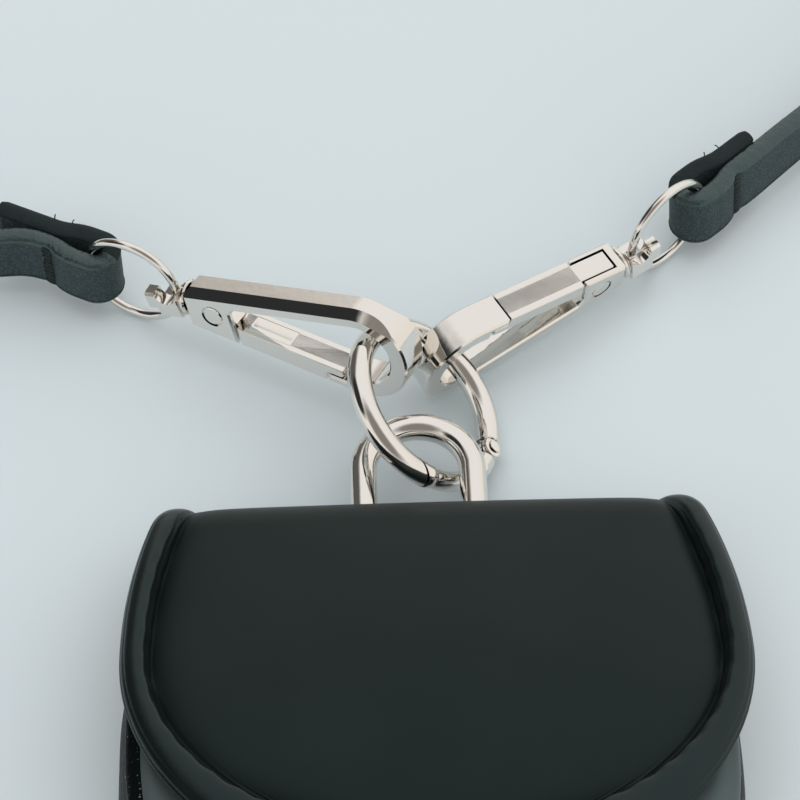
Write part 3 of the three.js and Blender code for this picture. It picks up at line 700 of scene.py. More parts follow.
# Dents of the rolled rim in section: fine grooves between the layers of its outer side, and its inner slope
RIM_DENTS = [
    dict(angle=42, wide=4, deep=0.035),
    dict(angle=18, wide=5, deep=0.06),
    dict(angle=-6, wide=6, deep=0.1),
    dict(angle=152, wide=22, deep=0.14),
]


def rim_section(low, steps=96):
    """Turned edge in section as (across, up), -1 to 1: a rolled top and grooves between its layers."""
    skew = lerp(RIM["skew"], RIM["low_skew"], low)
    rows = []
    for a in np.linspace(0, 360, steps, endpoint=False):
        across, up = math.cos(rad(a)), math.sin(rad(a))
        dent = 0.0
        for one in RIM_DENTS:
            away = (a - one["angle"] + 180) % 360 - 180
            dent += one["deep"] * math.exp(-(away / one["wide"]) ** 2)
        across, up = across * (1 - dent), up * (1 - RIM["dent_up"] * dent)
        rows.append((across - skew * (1 - across ** 2), up))
    return rows


def flap_binding():
    """The rolled rim, drawn in a little at each stitch."""
    rings = []
    run = 0.0
    rows = rim_path()
    for i, (s, x, out_s, out_x) in enumerate(rows):
        run += math.hypot(s - rows[i - 1][0], x - rows[i - 1][1]) if i else 0.0
        swell = smoothstep(s, APEX_S, ROLL_END_S + RIM["swell_run"])
        high = lerp(RIM["top_high"], RIM["high"], swell)
        pull = RIM["pull"] * swell * math.cos(2 * math.pi * run / STITCH["pitch"])
        ring = []
        for across, up in rim_section(rim_low(s) ** RIM["skew_ease"]):
            inner = max(0.0, -across)
            out = (across - 1 + pull * inner) * rim_wide(s) / 2
            lift = RIM["lift"] * swell + up * (1 - pull * inner) * high / 2
            ring.append(on_flap(s + out_s * out, x + out_x * out, lift))
        rings.append(ring)
    return shifted(sweep(rings), x=FLAP["shift_x"])


def seam_line():
    """Middle of the stitches, in the valley just inside the rim."""
    lift = FLAP["thick"] / 2 - STITCH["sink"]
    rows = rim_path(STITCH["wide"])
    return np.array([on_flap(s, x, lift + field_lift(s, x)) for s, x, _, _ in rows]) + (FLAP["shift_x"], 0, 0)


# Metal

def clasp_matrix(side, roll):
    return (Matrix.Translation(side["at"]) @ Matrix.Rotation(rad(side["heading"]), 4, "Z")
            @ Matrix.Rotation(-rad(side["pitch"]), 4, "Y") @ Matrix.Rotation(rad(roll), 4, "X"))


SLOPE = math.tan(rad(CLASP["wedge"]))
HALF_END = CLASP["end_high"] / 2
BEND_RADIUS = (CLASP["end_high"] + SLOPE * CLASP["length"]) / (1 + SLOPE + math.hypot(1, SLOPE))
BEND_X = CLASP["length"] - BEND_RADIUS
BEND_Z = BEND_RADIUS - HALF_END
ALONG = np.array((1, SLOPE)) / math.hypot(1, SLOPE)
INWARD = np.array((ALONG[1], -ALONG[0]))


def gate_line(x, inset=0.0):
    return HALF_END + SLOPE * x - inset * math.hypot(1, SLOPE)


def arc(cx, cz, radius, start, end, steps):
    return [(cx + radius * math.cos(a), cz + radius * math.sin(a)) for a in np.linspace(start, end, steps)]


def at_mouth(run, deep):
    return tuple(np.array((CLASP["mouth_x"], gate_line(CLASP["mouth_x"]))) + ALONG * run + INWARD * deep)


def bend(radius, first, last, steps):
    return arc(BEND_X, BEND_Z, radius, rad(first), rad(last), steps)


def hook_outline():
    top, under = 90 + CLASP["wedge"], TONGUE["reach"] + TONGUE["clear"]
    block, floor, cut = CLASP["block"], CLASP["arm"] - HALF_END, CLASP["end_cut"]
    return [
        (cut, -HALF_END), *bend(BEND_RADIUS, -90, top, 60), at_mouth(0, 0), at_mouth(0, TONGUE["lip"]),
        at_mouth(under, TONGUE["lip"]), at_mouth(under, CLASP["arm"]),
        *bend(BEND_RADIUS - CLASP["arm"], top, -90, 60),
        (block + CLASP["fillet"], floor), (block, floor + CLASP["fillet"]), (block, gate_line(block)),
        (0, gate_line(0)), (0, cut - HALF_END),
    ]


def spine_outline():
    """Its bevel cuts the spine's outer edges and leaves the gate side whole."""
    clear, fade = CHAMFER["clear"], rad(CHAMFER["fade"])
    rows = bend(BEND_RADIUS, -90, CHAMFER["fade"], 50)
    x, z = rows[-1]
    far, tall = x - clear * math.sin(fade), 2 * clear
    return [(-clear, -HALF_END), *rows, (far, z + clear * math.cos(fade)), (far, tall), (-clear, tall)]


def inset_outline(points, amount):
    """The closed outline drawn in by amount, corners mitred."""
    points = np.asarray(points, float)
    back, ahead = points - np.roll(points, 1, 0), np.roll(points, -1, 0) - points
    turn = []
    for step in (back, ahead):
        length = np.linalg.norm(step, axis=1)[:, None]
        turn.append(np.stack([-step[:, 1], step[:, 0]], 1) / length)
    bisector = turn[0] + turn[1]
    bisector /= np.linalg.norm(bisector, axis=1)[:, None]
    return points + amount * bisector / np.maximum((bisector * turn[0]).sum(1), 0.3)[:, None]


def plate(outline, half, chamfer):
    """Outline in (x, z) as a plate about y = 0, its edges cut off at 45 degrees."""
    steps = [(chamfer, -half), (0, chamfer - half), (0, half - chamfer), (chamfer, half)]
    return sweep([[(x, y, z) for x, z in inset_outline(outline, inset)] for inset, y in steps])


def hook():
    half = CLASP["thick"] / 2
    cuts = [
        box((SLOT["start"], -SLOT["half"], SLOT["floor"]),
            (CLASP["block"] + CLASP["fillet"], SLOT["half"], CLASP["length"])),
        rod(EYE["bore"], -SLOT["start"], 2 * SLOT["start"], "x"),
    ]
    for side in (-1, 1):
        low, high = sorted((side * (half - PIN["sink"]), side * 2 * half))
        cuts.append(shifted(rod(PIN["sink_radius"], low, high, "y", 64), x=PIN["x"], z=PIN["z"]))
    spine = plate(spine_outline(), half, CHAMFER["leg"])
    return carved(plate(hook_outline(), half, CLASP["edge"]), cuts, [spine])


def gate_outline(from_x):
    tip, under = -CLASP["mouth_gap"], TONGUE["lip"] + TONGUE["gap"]
    rows = [at_mouth(tip, under), at_mouth(tip, 0), (from_x, gate_line(from_x))]
    if from_x < PIN["x"]:
        rows += arc(PIN["x"], PIN["z"], GATE["root_radius"], rad(GATE["root_from"]), rad(GATE["root_to"]), 16)
        rows.append((CLASP["block"], gate_line(CLASP["block"], GATE["thick"])))
    else:
        rows.append((from_x, gate_line(from_x, GATE["thick"])))
    half = (GATE["thick"] - under) / 2
    round_end = [at_mouth(TONGUE["reach"] - half + half * math.sin(a), under + half + half * math.cos(a))
                 for a in np.linspace(0, math.pi, 10)]
    return rows + round_end


GATE_TILT = Matrix.Translation((0, 0, gate_line(0))) @ Matrix.Rotation(-rad(CLASP["wedge"]), 4, "Y")


def gate():
    """Lever with a narrow root between the cheeks, and a channel on its inner side for the coil spring."""
    deep = 2 * GATE["thick"]
    channel = box((CHANNEL["start"], GATE["wall"] - GATE["half"], -deep),
                  (CHANNEL["end"], GATE["half"] - GATE["wall"], -GATE["web"]))
    lever = carved(plate(gate_outline(LEVER_X), GATE["half"], GATE["edge"]), [turned(channel, GATE_TILT)])
    return merged(lever, plate(gate_outline(GATE["heel_x"]), GATE["root_half"], GATE["edge"]))


COIL = dict(radius=1.4, flat=0.62, wire=0.17, turns=24, steps=16, sink=1.95, clear=0.3)


def coil_spring():
    """Coil in the gate's channel, pressed a little flat."""
    first, last = CHANNEL["start"] + COIL["clear"], CHANNEL["end"] - COIL["clear"]
    points = []
    for t in np.linspace(0, 1, COIL["turns"] * COIL["steps"]):
        turn = 2 * math.pi * COIL["turns"] * t
        points.append((lerp(first, last, t), COIL["radius"] * math.cos(turn),
                       COIL["radius"] * math.sin(turn) * COIL["flat"] - COIL["sink"]))
    return turned(tube(points, COIL["wire"], 8), GATE_TILT)


def gate_pin():
    half, size, rim = CLASP["thick"] / 2, PIN["head_radius"], PIN["rim"]
    rows = [(half - PIN["head_thick"], size), (half - rim, size), (half, size - PIN["round"]),
            (half + PIN["crown"], PIN["crown_radius"])]
    heads = [lathe([(side * run, radius) for run, radius in rows], "y", 48) for side in (-1, 1)]
    shaft = rod(PIN["radius"], rim - half, half - rim, "y")
    return shifted(merged(shaft, *heads), x=PIN["x"], z=PIN["z"])


def swivel_eye(front):
    """Stem, collar disc, neck and a loop: its front arm is a broad saddle with an upright end plate."""
    to, low, collar, neck, edge = EYE["collar_to"], EYE["collar_from"], EYE["collar"], EYE["neck"], EYE_EDGE
    turned_part = lathe([
        (EYE["head_to"], edge["core"]), (EYE["head_to"], EYE["stem"]), (to, EYE["stem"]),
        (to, collar - edge["front"]), (to - edge["front_run"], collar),
        (low + edge["back"], collar), (low + edge["back_run"], collar - edge["back"]), (low, neck),
        (low - edge["neck_run"], neck - edge["neck_taper"]), (low - edge["root_run"], edge["core"]),
    ], "x", 48)
    start, end, wide, high = low - edge["lap"], low - EYE["length"], EYE["wide"] / 2, EYE["high"] / 2
    tall, beyond = high + EYE["plate_rise"], 2 * EYE["length"]
    saddle_x, saddle_z = EYE["saddle"]
    notch_x, notch_y, notch_z = EYE["notch"]
    block = box((end, -wide, -high), (start, wide, tall))
    cuts = [
        shifted(rod(EYE["saddle_radius"], -beyond, beyond, "y", 72), x=saddle_x, z=saddle_z),
        box((EYE["hole_x"] - EYE["hole"], -EYE["hole_back"], -beyond),
            (EYE["hole_x"] + EYE["hole"], EYE["hole_front"], beyond)),
        box((-beyond, -beyond, EYE["back_top"]), (start + edge["beyond"], EYE["plate_from"], beyond)),
        box((-beyond, notch_y, -beyond), (notch_x, beyond, notch_z)),
    ]
    corner = EYE["corner"]
    for y, z in ((wide, tall), (EYE["plate_from"], tall), (wide, -high), (-wide, -high)):
        cuts.append(turned(box((-beyond, -corner, -corner), (beyond, corner, corner)),
                           Matrix.Translation((0, y, z)) @ Matrix.Rotation(rad(45), 4, "X")))
    points, faces = merged(turned_part, carved(block, cuts))
    return points * (1, front, 1), faces


def ring_arc(first, last, steps, size=RING["wire"], sides=32):
    angles = np.radians(np.linspace(first, last, steps))
    points = [(RING["radius"] * math.cos(a), RING["radius"] * math.sin(a), 0) for a in angles]
    return tube(points, size, sides)


MOUTH_REACH = 2 * RING["radius"] * math.sin(rad(-RING["mouth"] / 2))


def at_hinge(shape):
    return shifted(shape, x=RING["radius"])


def spring_ring():
    deep, across = 2 * RING["wire"], 3 * RING["radius"]
    swing = at_hinge(rod(MOUTH_REACH + RING["mouth_gap"], -deep, deep, "z", 160))
    far_side = box((-across, -deep, -RING["radius"]), (across, across, RING["radius"]))
    slot = at_hinge(rod(KNUCKLE["clear"], -KNUCKLE["slot"], KNUCKLE["slot"], "z", 48))
    bow = ring_arc(0, RING["mouth"] + RING["mouth_lap"] + 360, 130)
    barrel = at_hinge(rod(KNUCKLE["radius"], -RING["wire"], RING["wire"], "z", 48, KNUCKLE["edge"]))
    return merged(carved(bow, [carved(swing, [far_side]), slot]), carved(barrel, [slot]))


def spring_ring_gate():
    """Sprung lever, a little thinner than the bow, with full-size ends."""
    shoulder = -math.degrees(KNUCKLE["clear"] / RING["radius"])
    deep = 2 * RING["wire"]
    swing = at_hinge(rod(MOUTH_REACH, -deep, deep, "z", 160))
    first, last = RING["mouth"] - RING["mouth_lap"], shoulder
    angles = np.linspace(first, last, 70)
    ends = sum(smoothstep(angles, at + way * LEVER_END[end][0], at + way * LEVER_END[end][1])
               for end, at, way in (("hinge", last, -1), ("mouth", RING["mouth"], 1)))
    bow = carved(ring_arc(first, last, len(angles), lerp(RING["lever"], RING["wire"], ends)), keeps=[swing])
    half, thick = KNUCKLE["tongue_half"], KNUCKLE["tongue"]
    tongue = box((-half, -KNUCKLE["clear"] - KNUCKLE["tongue_root"], -thick), (half, 0, thick))
    return merged(bow, at_hinge(tongue), at_hinge(rod(KNUCKLE["eye"], -thick, thick, "z", 40)))


def spring_ring_pin():
    reach, thick, size = RING_PIN["reach"], RING_PIN["head_thick"], RING_PIN["head_radius"]
    rows = [(reach, size), (reach + 0.5 * thick, size), (reach + 0.9 * thick, 0.7 * size),
            (reach + thick, RING_PIN["tip"])]
    heads = [lathe([(side * run, radius) for run, radius in rows], "z", 36) for side in (-1, 1)]
    return at_hinge(merged(rod(RING_PIN["radius"], -reach, reach, "z", 24), *heads))


def arch_ring():
    half, centre_y, foot_y = ARCH["half"], ARCH["top_y"] - ARCH["half"], ARCH["foot_y"]
    leg = np.linspace(foot_y, centre_y, 10)[:-1]
    points = [(half, y, ARCH["z"]) for y in leg]
    points += [(half * math.cos(a), centre_y + half * math.sin(a), ARCH["z"])
               for a in np.linspace(0, math.pi, 70)]
    points += [(-half, y, ARCH["z"]) for y in reversed(leg)]
    head = rod(ARCH["foot_head"], foot_y, foot_y + ARCH["foot_thick"], "y", 32)
    heads = [shifted(head, x=side * half, z=ARCH["z"]) for side in (-1, 1)]
    return merged(tube(points, ARCH["wire"], 32), *heads)


# Strap

def strap_ring_centre(side, strap):
    hole = clasp_matrix(side, 0) @ Vector((EYE["hole_x"], 0, 0))
    out = rad(strap["bearing"])
    return Vector((hole.x + STRAP_RING["reach"] * math.cos(out), hole.y + STRAP_RING["reach"] * math.sin(out),
                   STRAP_RING["z"]))


def strap_ring(side, strap):
    centre, out = strap_ring_centre(side, strap), rad(strap["bearing"])
    points = []
    for a in np.linspace(0, 2 * math.pi, 72, endpoint=False):
        level = STRAP_RING["radius"] * math.cos(a)
        points.append((centre.x + level * math.cos(out), centre.y + level * math.sin(out),
                       centre.z + STRAP_RING["radius"] * math.sin(a)))
    return tube(points, STRAP_RING["wire"], 20, loop=True)


PINCH, SWING = FOLD["pinch"], FOLD["pinch_turn"]
WIRE_START = math.sqrt((STRAP_RING["radius"] - STRAP_RING["wire"]) ** 2 - (STRAP["wide"] / 2) ** 2)
FOLD_CENTRE = WIRE_START - FOLD["slack"] + FOLD["radius"] - STRAP["thick"] / 2


def folded_end(tail):
    return [(tail, 0), (PINCH, SWING), (PINCH, -SWING), (FOLD["run"], 0), (math.pi * FOLD["radius"], -180),
            (FOLD["run"], 0), (PINCH, -SWING), (PINCH, SWING), (FOLD["tack"], 0)]


def end_run(strap):
    return sum(length for length, _ in folded_end(strap["tail"]))


def tail_start(centre, strap, side):
    run = Route((0, 0), 180, folded_end(strap["tail"])[:4]).end
    out = rad(strap["bearing"])
    reach = FOLD_CENTRE - run["u"]
    offset = side * (FOLD["radius"] - abs(run["v"]))
    return (centre.x + reach * math.cos(out) - offset * math.sin(out),
            centre.y + reach * math.sin(out) + offset * math.cos(out))


def strap_route():
    left_end = tail_start(strap_ring_centre(LEFT, LEFT_STRAP), LEFT_STRAP, -1)
    right_end = tail_start(strap_ring_centre(RIGHT, RIGHT_STRAP), RIGHT_STRAP, 1)
    leave = LEFT_STRAP["bearing"] + LEFT_STRAP["splay"]
    arrive = 180 + RIGHT_STRAP["bearing"] - RIGHT_STRAP["splay"]

    def arc_row(turn):
        return STRAP["loop_radius"] * rad(turn), -turn

    def rows(up, across):
        return [*folded_end(LEFT_STRAP["tail"]), (STRAP["splay_run"], LEFT_STRAP["splay"]),
                (STRAP["left_run"], 0), arc_row(leave - 90), (up, 0), arc_row(90), (across, 0),
                arc_row(360 - arrive), (STRAP["right_run"], 0), (STRAP["splay_run"], RIGHT_STRAP["splay"]),
                *folded_end(RIGHT_STRAP["tail"])[::-1]]

    heading = LEFT_STRAP["bearing"] + 180
    trial = Route(left_end, heading, rows(1, 1)).end
    return Route(left_end, heading, rows(1 + right_end[1] - trial["v"], 1 + right_end[0] - trial["u"]))


STRAP_PATH = strap_route()
LEFT_FOLD_S = end_run(LEFT_STRAP)
RIGHT_FOLD_S = STRAP_PATH.length - end_run(RIGHT_STRAP)
# Bar tacks that bind the strap to its folded-back ends
TACK = dict(forward=1.8, deep=0.35, dent_wide=1.3, wide=2.5, thick=1.0, pitch=0.7, length=0.85,
            low=0.0, high=0.2, wave=0.15, wave_turn=1.9)
TACK_BACK = FOLD["tack"] + PINCH - TACK["forward"]
TACKS = [LEFT_FOLD_S - TACK_BACK, RIGHT_FOLD_S + TACK_BACK]
STRAP_EDGE = dict(high=0.85, step=0.1, steps=14, round=0.8, face_rows=5)
STRAP_MESH = dict(fine_run=30, fine_step=0.45, plain_rows=240)
STRAP_TIP = dict(thin=0.25, run=0.5)
# The right end leans back a little
LEAN = dict(angle=6, run=40)


def strap_rise(s):
    lift = STRAP_RING["z"] - STRAP["wide"] / 2
    from_end = min(s - LEFT_FOLD_S, RIGHT_FOLD_S - s)
    return lift * (1 - smoothstep(from_end, 0, STRAP["rise_run"]))


def strap_point(s, across, up):
    p = STRAP_PATH.at(s)
    near = smoothstep(s, RIGHT_FOLD_S - LEAN["run"], RIGHT_FOLD_S)
    back = rad(RIGHT_STRAP["bearing"] + 90)
    tip = near * math.tan(rad(LEAN["angle"])) * (up - STRAP["wide"] / 2)
    return (p["u"] - across * math.sin(p["angle"]) + tip * math.cos(back),
            p["v"] + across * math.cos(p["angle"]) + tip * math.sin(back), strap_rise(s) + up)


def strap_section():
    """Rows of (across, up): round painted edges that stand a little proud of the two pebbled faces."""
    half, wide, high = STRAP["thick"] / 2, STRAP["wide"], STRAP_EDGE["high"]
    face = half - STRAP_EDGE["step"]
    crest = [(half * math.cos(a), high * math.sin(a) ** STRAP_EDGE["round"])
             for a in np.linspace(0, math.pi, STRAP_EDGE["steps"])]
    top = [(across, wide - high + up) for across, up in crest]
    bottom = [(-across, high - up) for across, up in crest]
    left = [(-face, up) for up in np.linspace(wide - high, high, STRAP_EDGE["face_rows"])]
    return top + left + bottom + [(-across, wide - up) for across, up in left]


def strap():
    """The strap, with marks 0 on its faces, 1 on its glossy painted edges and 2 on those of the tails."""
    length, step = STRAP_PATH.length, STRAP_MESH["fine_step"]
    left, right = LEFT_FOLD_S + STRAP_MESH["fine_run"], RIGHT_FOLD_S - STRAP_MESH["fine_run"]
    plain_runs = np.linspace(left, right, STRAP_MESH["plain_rows"])
    right_runs = np.arange(right + step, length, step)
    runs = np.concatenate([np.arange(0, left, step), plain_runs, right_runs, [length]])
    section = strap_section()
    rings = []
    for s in runs:
        dent = TACK["deep"] * max(math.exp(-((s - tack) / TACK["dent_wide"]) ** 2) for tack in TACKS)
        thin = 1 - STRAP_TIP["thin"] * math.exp(-(min(s, length - s) / STRAP_TIP["run"]) ** 2)
        rings.append([strap_point(s, across * thin - (dent if across > 0 else 0), up)
                      for across, up in section])
    points, faces = sweep(rings)
    sides, steps, rows = len(section), STRAP_EDGE["steps"], STRAP_EDGE["face_rows"]
    plain = [*range(steps, steps + rows - 1), *range(2 * steps + rows, 2 * (steps + rows) - 1)]
    half_fold = 2 * PINCH + FOLD["run"] + math.pi * FOLD["radius"] / 2
    tails = LEFT_STRAP["tail"] + half_fold, length - RIGHT_STRAP["tail"] - half_fold
    paint = [1 if tails[0] < s < tails[1] else 2 for s in runs]
    marks = [0 if f % sides in plain else paint[f // sides] for f in range(len(faces) - 2)] + [2, 2]
    return (points, faces), marks


def tack_line(s):
    """Up the outer face of the strap at run s, with the way that the face looks."""
    across = STRAP["thick"] / 2 - STRAP_EDGE["step"] - TACK["deep"]
    low, high = STRAP_EDGE["high"] + TACK["low"], STRAP["wide"] - STRAP_EDGE["high"] - TACK["high"]
    line = [strap_point(s + TACK["wave"] * math.sin(TACK["wave_turn"] * up), across, up)
            for up in np.linspace(low, high, 24)]
    angle = STRAP_PATH.at(s)["angle"]
    return line, (-math.sin(angle), math.cos(angle), 0)


# Cut ends of thread behind each bar tack: run back from the fold's start, height on the tail, lean of the tip
THREAD_ENDS = [
    dict(back=0.4, height=8.9, lean=0.3),
    dict(back=3.6, height=9.05, lean=-0.2),
]
STRAND = dict(sink=0.25, reach=0.35, rise=0.3, bow=0.15, radius=0.1)


def thread_ends():
    """A few cut ends of thread on the outer side of each folded-back tail."""
    half = STRAP["thick"] / 2
    strands = []
    for tail, run, sign in ((LEFT_STRAP["tail"], 0, 1), (RIGHT_STRAP["tail"], STRAP_PATH.length, -1)):
        for end in THREAD_ENDS:
            s = run + sign * (tail + PINCH - end["back"])
            low, high = end["height"], end["height"] + STRAND["rise"]
            base = np.array(strap_point(s, half - STRAND["sink"], low))
            tip = np.array(strap_point(s + end["lean"], half + STRAND["reach"], high))
            middle = (base + tip) / 2 + (0, 0, STRAND["bow"])
            strands.append(tube([base, middle, tip], STRAND["radius"], 6))
    return merged(*strands)


# Stitches

# One bead of thread, a unit ball before it is drawn to size, and how its size varies
BEAD = dict(segments=12, rings=8, radius=0.5, smallest=0.8, largest=1.1)


def stitch_nodes():
    """Stitches at an even pitch along a line of points, each a small soft bead of thread."""
    group = bpy.data.node_groups.new("stitch_run", "GeometryNodeTree")
    for name, kind in (("Geometry", "Geometry"), ("Pitch", "Float"), ("Length", "Float"), ("Width", "Float"),
                       ("Thickness", "Float"), ("Facing", "Vector"), ("Seed", "Int"), ("Thread", "Material")):
        group.interface.new_socket(name, in_out="INPUT", socket_type=f"NodeSocket{kind}")
    group.interface.new_socket("Geometry", in_out="OUTPUT", socket_type="NodeSocketGeometry")

    node = Tree(group).node
    source = node("NodeGroupInput").outputs
    line = node("GeometryNodeMeshToCurve", Mesh=source["Geometry"])
    spaced = node("GeometryNodeResampleCurve", dict(mode="LENGTH"),
                  Curve=line.outputs[0], Length=source["Pitch"])
    bead = node("GeometryNodeMeshUVSphere",
                Segments=BEAD["segments"], Rings=BEAD["rings"], Radius=BEAD["radius"])
    size = node("ShaderNodeCombineXYZ", X=source["Length"], Y=source["Width"], Z=source["Thickness"])
    shaped = node("GeometryNodeTransform", Geometry=bead.outputs["Mesh"], Scale=size.outputs[0])
    ahead = node("FunctionNodeAlignRotationToVector", dict(axis="X"),
                 Vector=node("GeometryNodeInputTangent").outputs[0])
    turn = node("FunctionNodeAlignRotationToVector", dict(axis="Z", pivot_axis="X"),
                Rotation=ahead.outputs[0], Vector=source["Facing"])
    vary = node("FunctionNodeRandomValue", dict(data_type="FLOAT"), Seed=source["Seed"])
    low, high = [s for s in vary.inputs if s.name in ("Min", "Max") and s.type == "VALUE"]
    low.default_value, high.default_value = BEAD["smallest"], BEAD["largest"]
    grown = next(s for s in vary.outputs if s.type == "VALUE" and s.enabled)
    placed = node("GeometryNodeInstanceOnPoints", Points=spaced.outputs[0], Instance=shaped.outputs[0],
                  Rotation=turn.outputs[0], Scale=grown)
    real = node("GeometryNodeRealizeInstances", Geometry=placed.outputs[0])
    soft = node("GeometryNodeSetShadeSmooth", Geometry=real.outputs[0])
    dressed = node("GeometryNodeSetMaterial", Geometry=soft.outputs[0], Material=source["Thread"])
    node("NodeGroupOutput", Geometry=dressed.outputs[0])
    return group


STITCHES = stitch_nodes()


def stitched(name, points, size, facing, seed):
    """A run of stitches along points in millimetres, as a plain mesh that rides on the bag."""
    values = {socket: size[key] * MM for socket, key in
              (("Pitch", "pitch"), ("Length", "length"), ("Width", "wide"), ("Thickness", "thick"))}
    values.update(Facing=facing, Seed=seed, Thread=THREAD)
    line = bpy.data.meshes.new(name)
    rows = (np.asarray(points, float) * MM).tolist()
    line.from_pydata(rows, [(i, i + 1) for i in range(len(rows) - 1)], [])
    thing = bpy.data.objects.new(name, line)
    bpy.context.scene.collection.objects.link(thing)
    step = thing.modifiers.new("stitches", "NODES")
    step.node_group = STITCHES
    for key, value in values.items():
        socket = next(s for s in STITCHES.interface.items_tree if s.name == key and s.in_out == "INPUT")
        step[socket.identifier] = value
    graph = bpy.context.evaluated_depsgraph_get()
    made = bpy.data.meshes.new_from_object(thing.evaluated_get(graph))
    thing.modifiers.remove(step)
    thing.data = made
    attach(thing, "bag")
    return thing


# Build

SOFT, MACHINED = CRISP["leather"], CRISP["machined"]
back_shape, back_marks = back_panel()
piece("back_panel_leather", back_shape, [LEATHER_BLACK, EDGE_MATT], "bag", ["back_panel"], back_marks)
piece("gusset_leather", gusset(), [LEATHER_GRAIN], "bag", ["gusset"])
front_shape, front_marks = front_panel()
piece("front_panel_leather", front_shape, [FRONT_PAINTED_REFLECTION, LEATHER_GRAIN], "bag", ["front_panel"],
      front_marks)
piece("flap_leather", flap(), [LEATHER_BLACK], "bag", ["flap"], sharp=SOFT)
piece("flap_rim", flap_binding(), [LEATHER_RIM], "bag", ["flap_binding"], sharp=SOFT)
stitched("flap_stitches", seam_line(), STITCH, facing=(0, 0, 1), seed=7)


def plated(name, shape, body, nodes=(), sharp=CRISP["plain"]):
    """A piece of plated metal."""
    piece(name, shape, [NICKEL], body, nodes, sharp=sharp)


RING_MATRIX = (Matrix.Translation(RING["centre"]) @ Matrix.Rotation(rad(RING["bearing"]), 4, "Z")
               @ Matrix.Rotation(rad(RING["tilt"]), 4, "Y") @ Matrix.Rotation(rad(RING["spin"]), 4, "Z"))
plated("arch_bar", arch_ring(), "bag", ["arch_ring"])
plated("ring_bow", turned(spring_ring(), RING_MATRIX), "bag", ["spring_ring"])
plated("ring_lever", turned(spring_ring_gate(), RING_MATRIX), "ring_gate", ["spring_ring_gate"])
plated("ring_rivet", turned(spring_ring_pin(), RING_MATRIX), "bag", ["spring_ring_pin"])

for name, side, end, front in (("left", LEFT, LEFT_STRAP, -1), ("right", RIGHT, RIGHT_STRAP, 1)):
    clasp, upright = clasp_matrix(side, side["roll"]), clasp_matrix(side, 0)
    plated(f"{name}_hook_metal", turned(hook(), clasp), f"{name}_clasp", [f"{name}_hook"], MACHINED)
    plated(f"{name}_gate_metal", turned(gate(), clasp), f"{name}_lever", [f"{name}_gate"], MACHINED)
    plated(f"{name}_gate_coil", turned(coil_spring(), clasp), f"{name}_lever")
    plated(f"{name}_rivet", turned(gate_pin(), clasp), f"{name}_clasp", [f"{name}_gate_pin"])
    plated(f"{name}_eye_metal", turned(swivel_eye(front), upright), "bag", [f"{name}_swivel_eye"], MACHINED)
    plated(f"{name}_ring_metal", strap_ring(side, end), "bag", [f"{name}_strap_ring"])

strap_shape, strap_marks = strap()
piece("strap_leather", strap_shape, [LEATHER_STRAP, EDGE, EDGE_MATT], "bag", ["strap"], strap_marks,
      SOFT)
piece("thread_ends", thread_ends(), [THREAD], "bag", ())
for name, run in zip(("left", "right"), TACKS):
    line, outward = tack_line(run)
    stitched(f"{name}_bar_tack", line, TACK, facing=outward, seed=11)

# Floor, light and camera

scene = bpy.context.scene
FLOOR_HALF = 3.0
corners = [(x * FLOOR_HALF, y * FLOOR_HALF, 0) for x, y in ((-1, -1), (1, -1), (1, 1), (-1, 1))]
floor_mesh = bpy.data.meshes.new("floor")
floor_mesh.from_pydata(corners, [], [(0, 1, 2, 3)])
floor_look, floor_tree, floor_feed = material("floor", Specular_IOR_Level=0.2, Roughness=0.6)
floor_feed(Base_Color=floor_tree.mix(floor_tree.noise(7, 1), (0.75, 0.843, 0.885), (0.775, 0.868, 0.91)))
floor_mesh.materials.append(floor_look)
floor = bpy.data.objects.new("floor", floor_mesh)
scene.collection.objects.link(floor)

world = bpy.data.worlds.new("studio")
scene.world = world
world.use_nodes = True
sky = Tree(world.node_tree)
way = sky.node("ShaderNodeTexCoord").outputs["Generated"]
height = sky.value(sky.node("ShaderNodeSeparateXYZ", Vector=way), "Z")


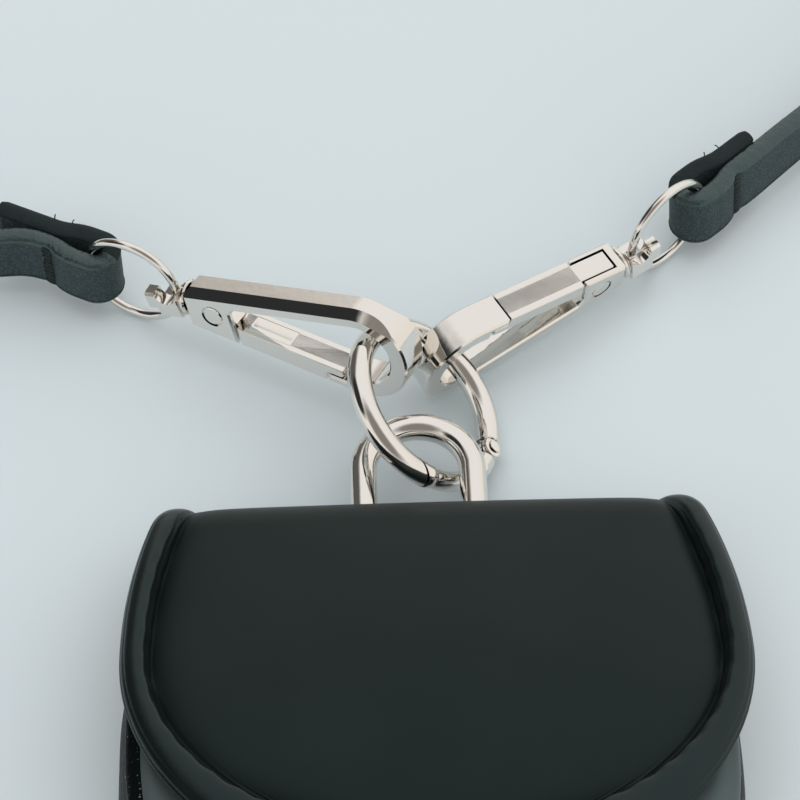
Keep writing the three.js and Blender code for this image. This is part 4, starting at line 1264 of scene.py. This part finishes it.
# Dark zones of the surroundings, each over the ones before: far left, behind the camera and at the left;
# cosines from a zone's direction say where it begins and where it is full
ZONES = [
    dict(toward=(-0.72, 0.62, 0.3), begins=0.78, full=0.95, colour=(0.12, 0.11, 0.1)),
    dict(toward=camera_direction(), begins=0.72, full=0.94, colour=(0.27, 0.245, 0.225)),
    dict(toward=(-0.8, 0.03, 0.6), begins=0.87, full=0.96, colour=(0.03, 0.031, 0.033)),
]
around = sky.mix(height.smooth(-0.05, 0.75), (0.95, 0.895, 0.815), (0.97, 0.955, 0.94))
for zone in ZONES:
    cosine = sky.node("ShaderNodeVectorMath", dict(operation="DOT_PRODUCT"), way, zone["toward"])
    inside = sky.value(cosine, "Value").smooth(zone["begins"], zone["full"])
    around = sky.mix(inside, around, zone["colour"])
lit = sky.node("ShaderNodeBackground", Color=around, Strength=1.0)
sky.node("ShaderNodeOutputWorld", None, lit.outputs[0])


# One overhead lamp, in metres; its own shape is not mirrored in the metal
OVERHEAD = dict(at=(-0.2, -0.4, 1.35), aim=(0, 0.05, 0), size=2.0, power=8.3, colour=(0.985, 0.995, 1.0))
lamp = bpy.data.lights.new("overhead", "AREA")
lamp.shape, lamp.size = "SQUARE", OVERHEAD["size"]
lamp.energy, lamp.color = OVERHEAD["power"], OVERHEAD["colour"]
softbox = bpy.data.objects.new("overhead", lamp)
softbox.location = OVERHEAD["at"]
softbox.visible_glossy = False
beam = Vector(OVERHEAD["aim"]) - Vector(OVERHEAD["at"])
softbox.rotation_euler = beam.to_track_quat("-Z", "Y").to_euler()
scene.collection.objects.link(softbox)

lens = bpy.data.cameras.new("camera")
lens.lens, lens.sensor_width, lens.sensor_fit = CAMERA["lens"], CAMERA["sensor"], "HORIZONTAL"
lens.clip_start, lens.clip_end = 0.01, 20
viewer = bpy.data.objects.new("camera", lens)
back_to_viewer = camera_direction()
viewer.location = (Vector(CAMERA["target"]) + back_to_viewer * CAMERA["distance"]) * MM
viewer.rotation_euler = (-back_to_viewer).to_track_quat("-Z", "Y").to_euler()
scene.collection.objects.link(viewer)
scene.camera = viewer
scene.view_settings.view_transform = "Standard"
scene.view_settings.look = "None"
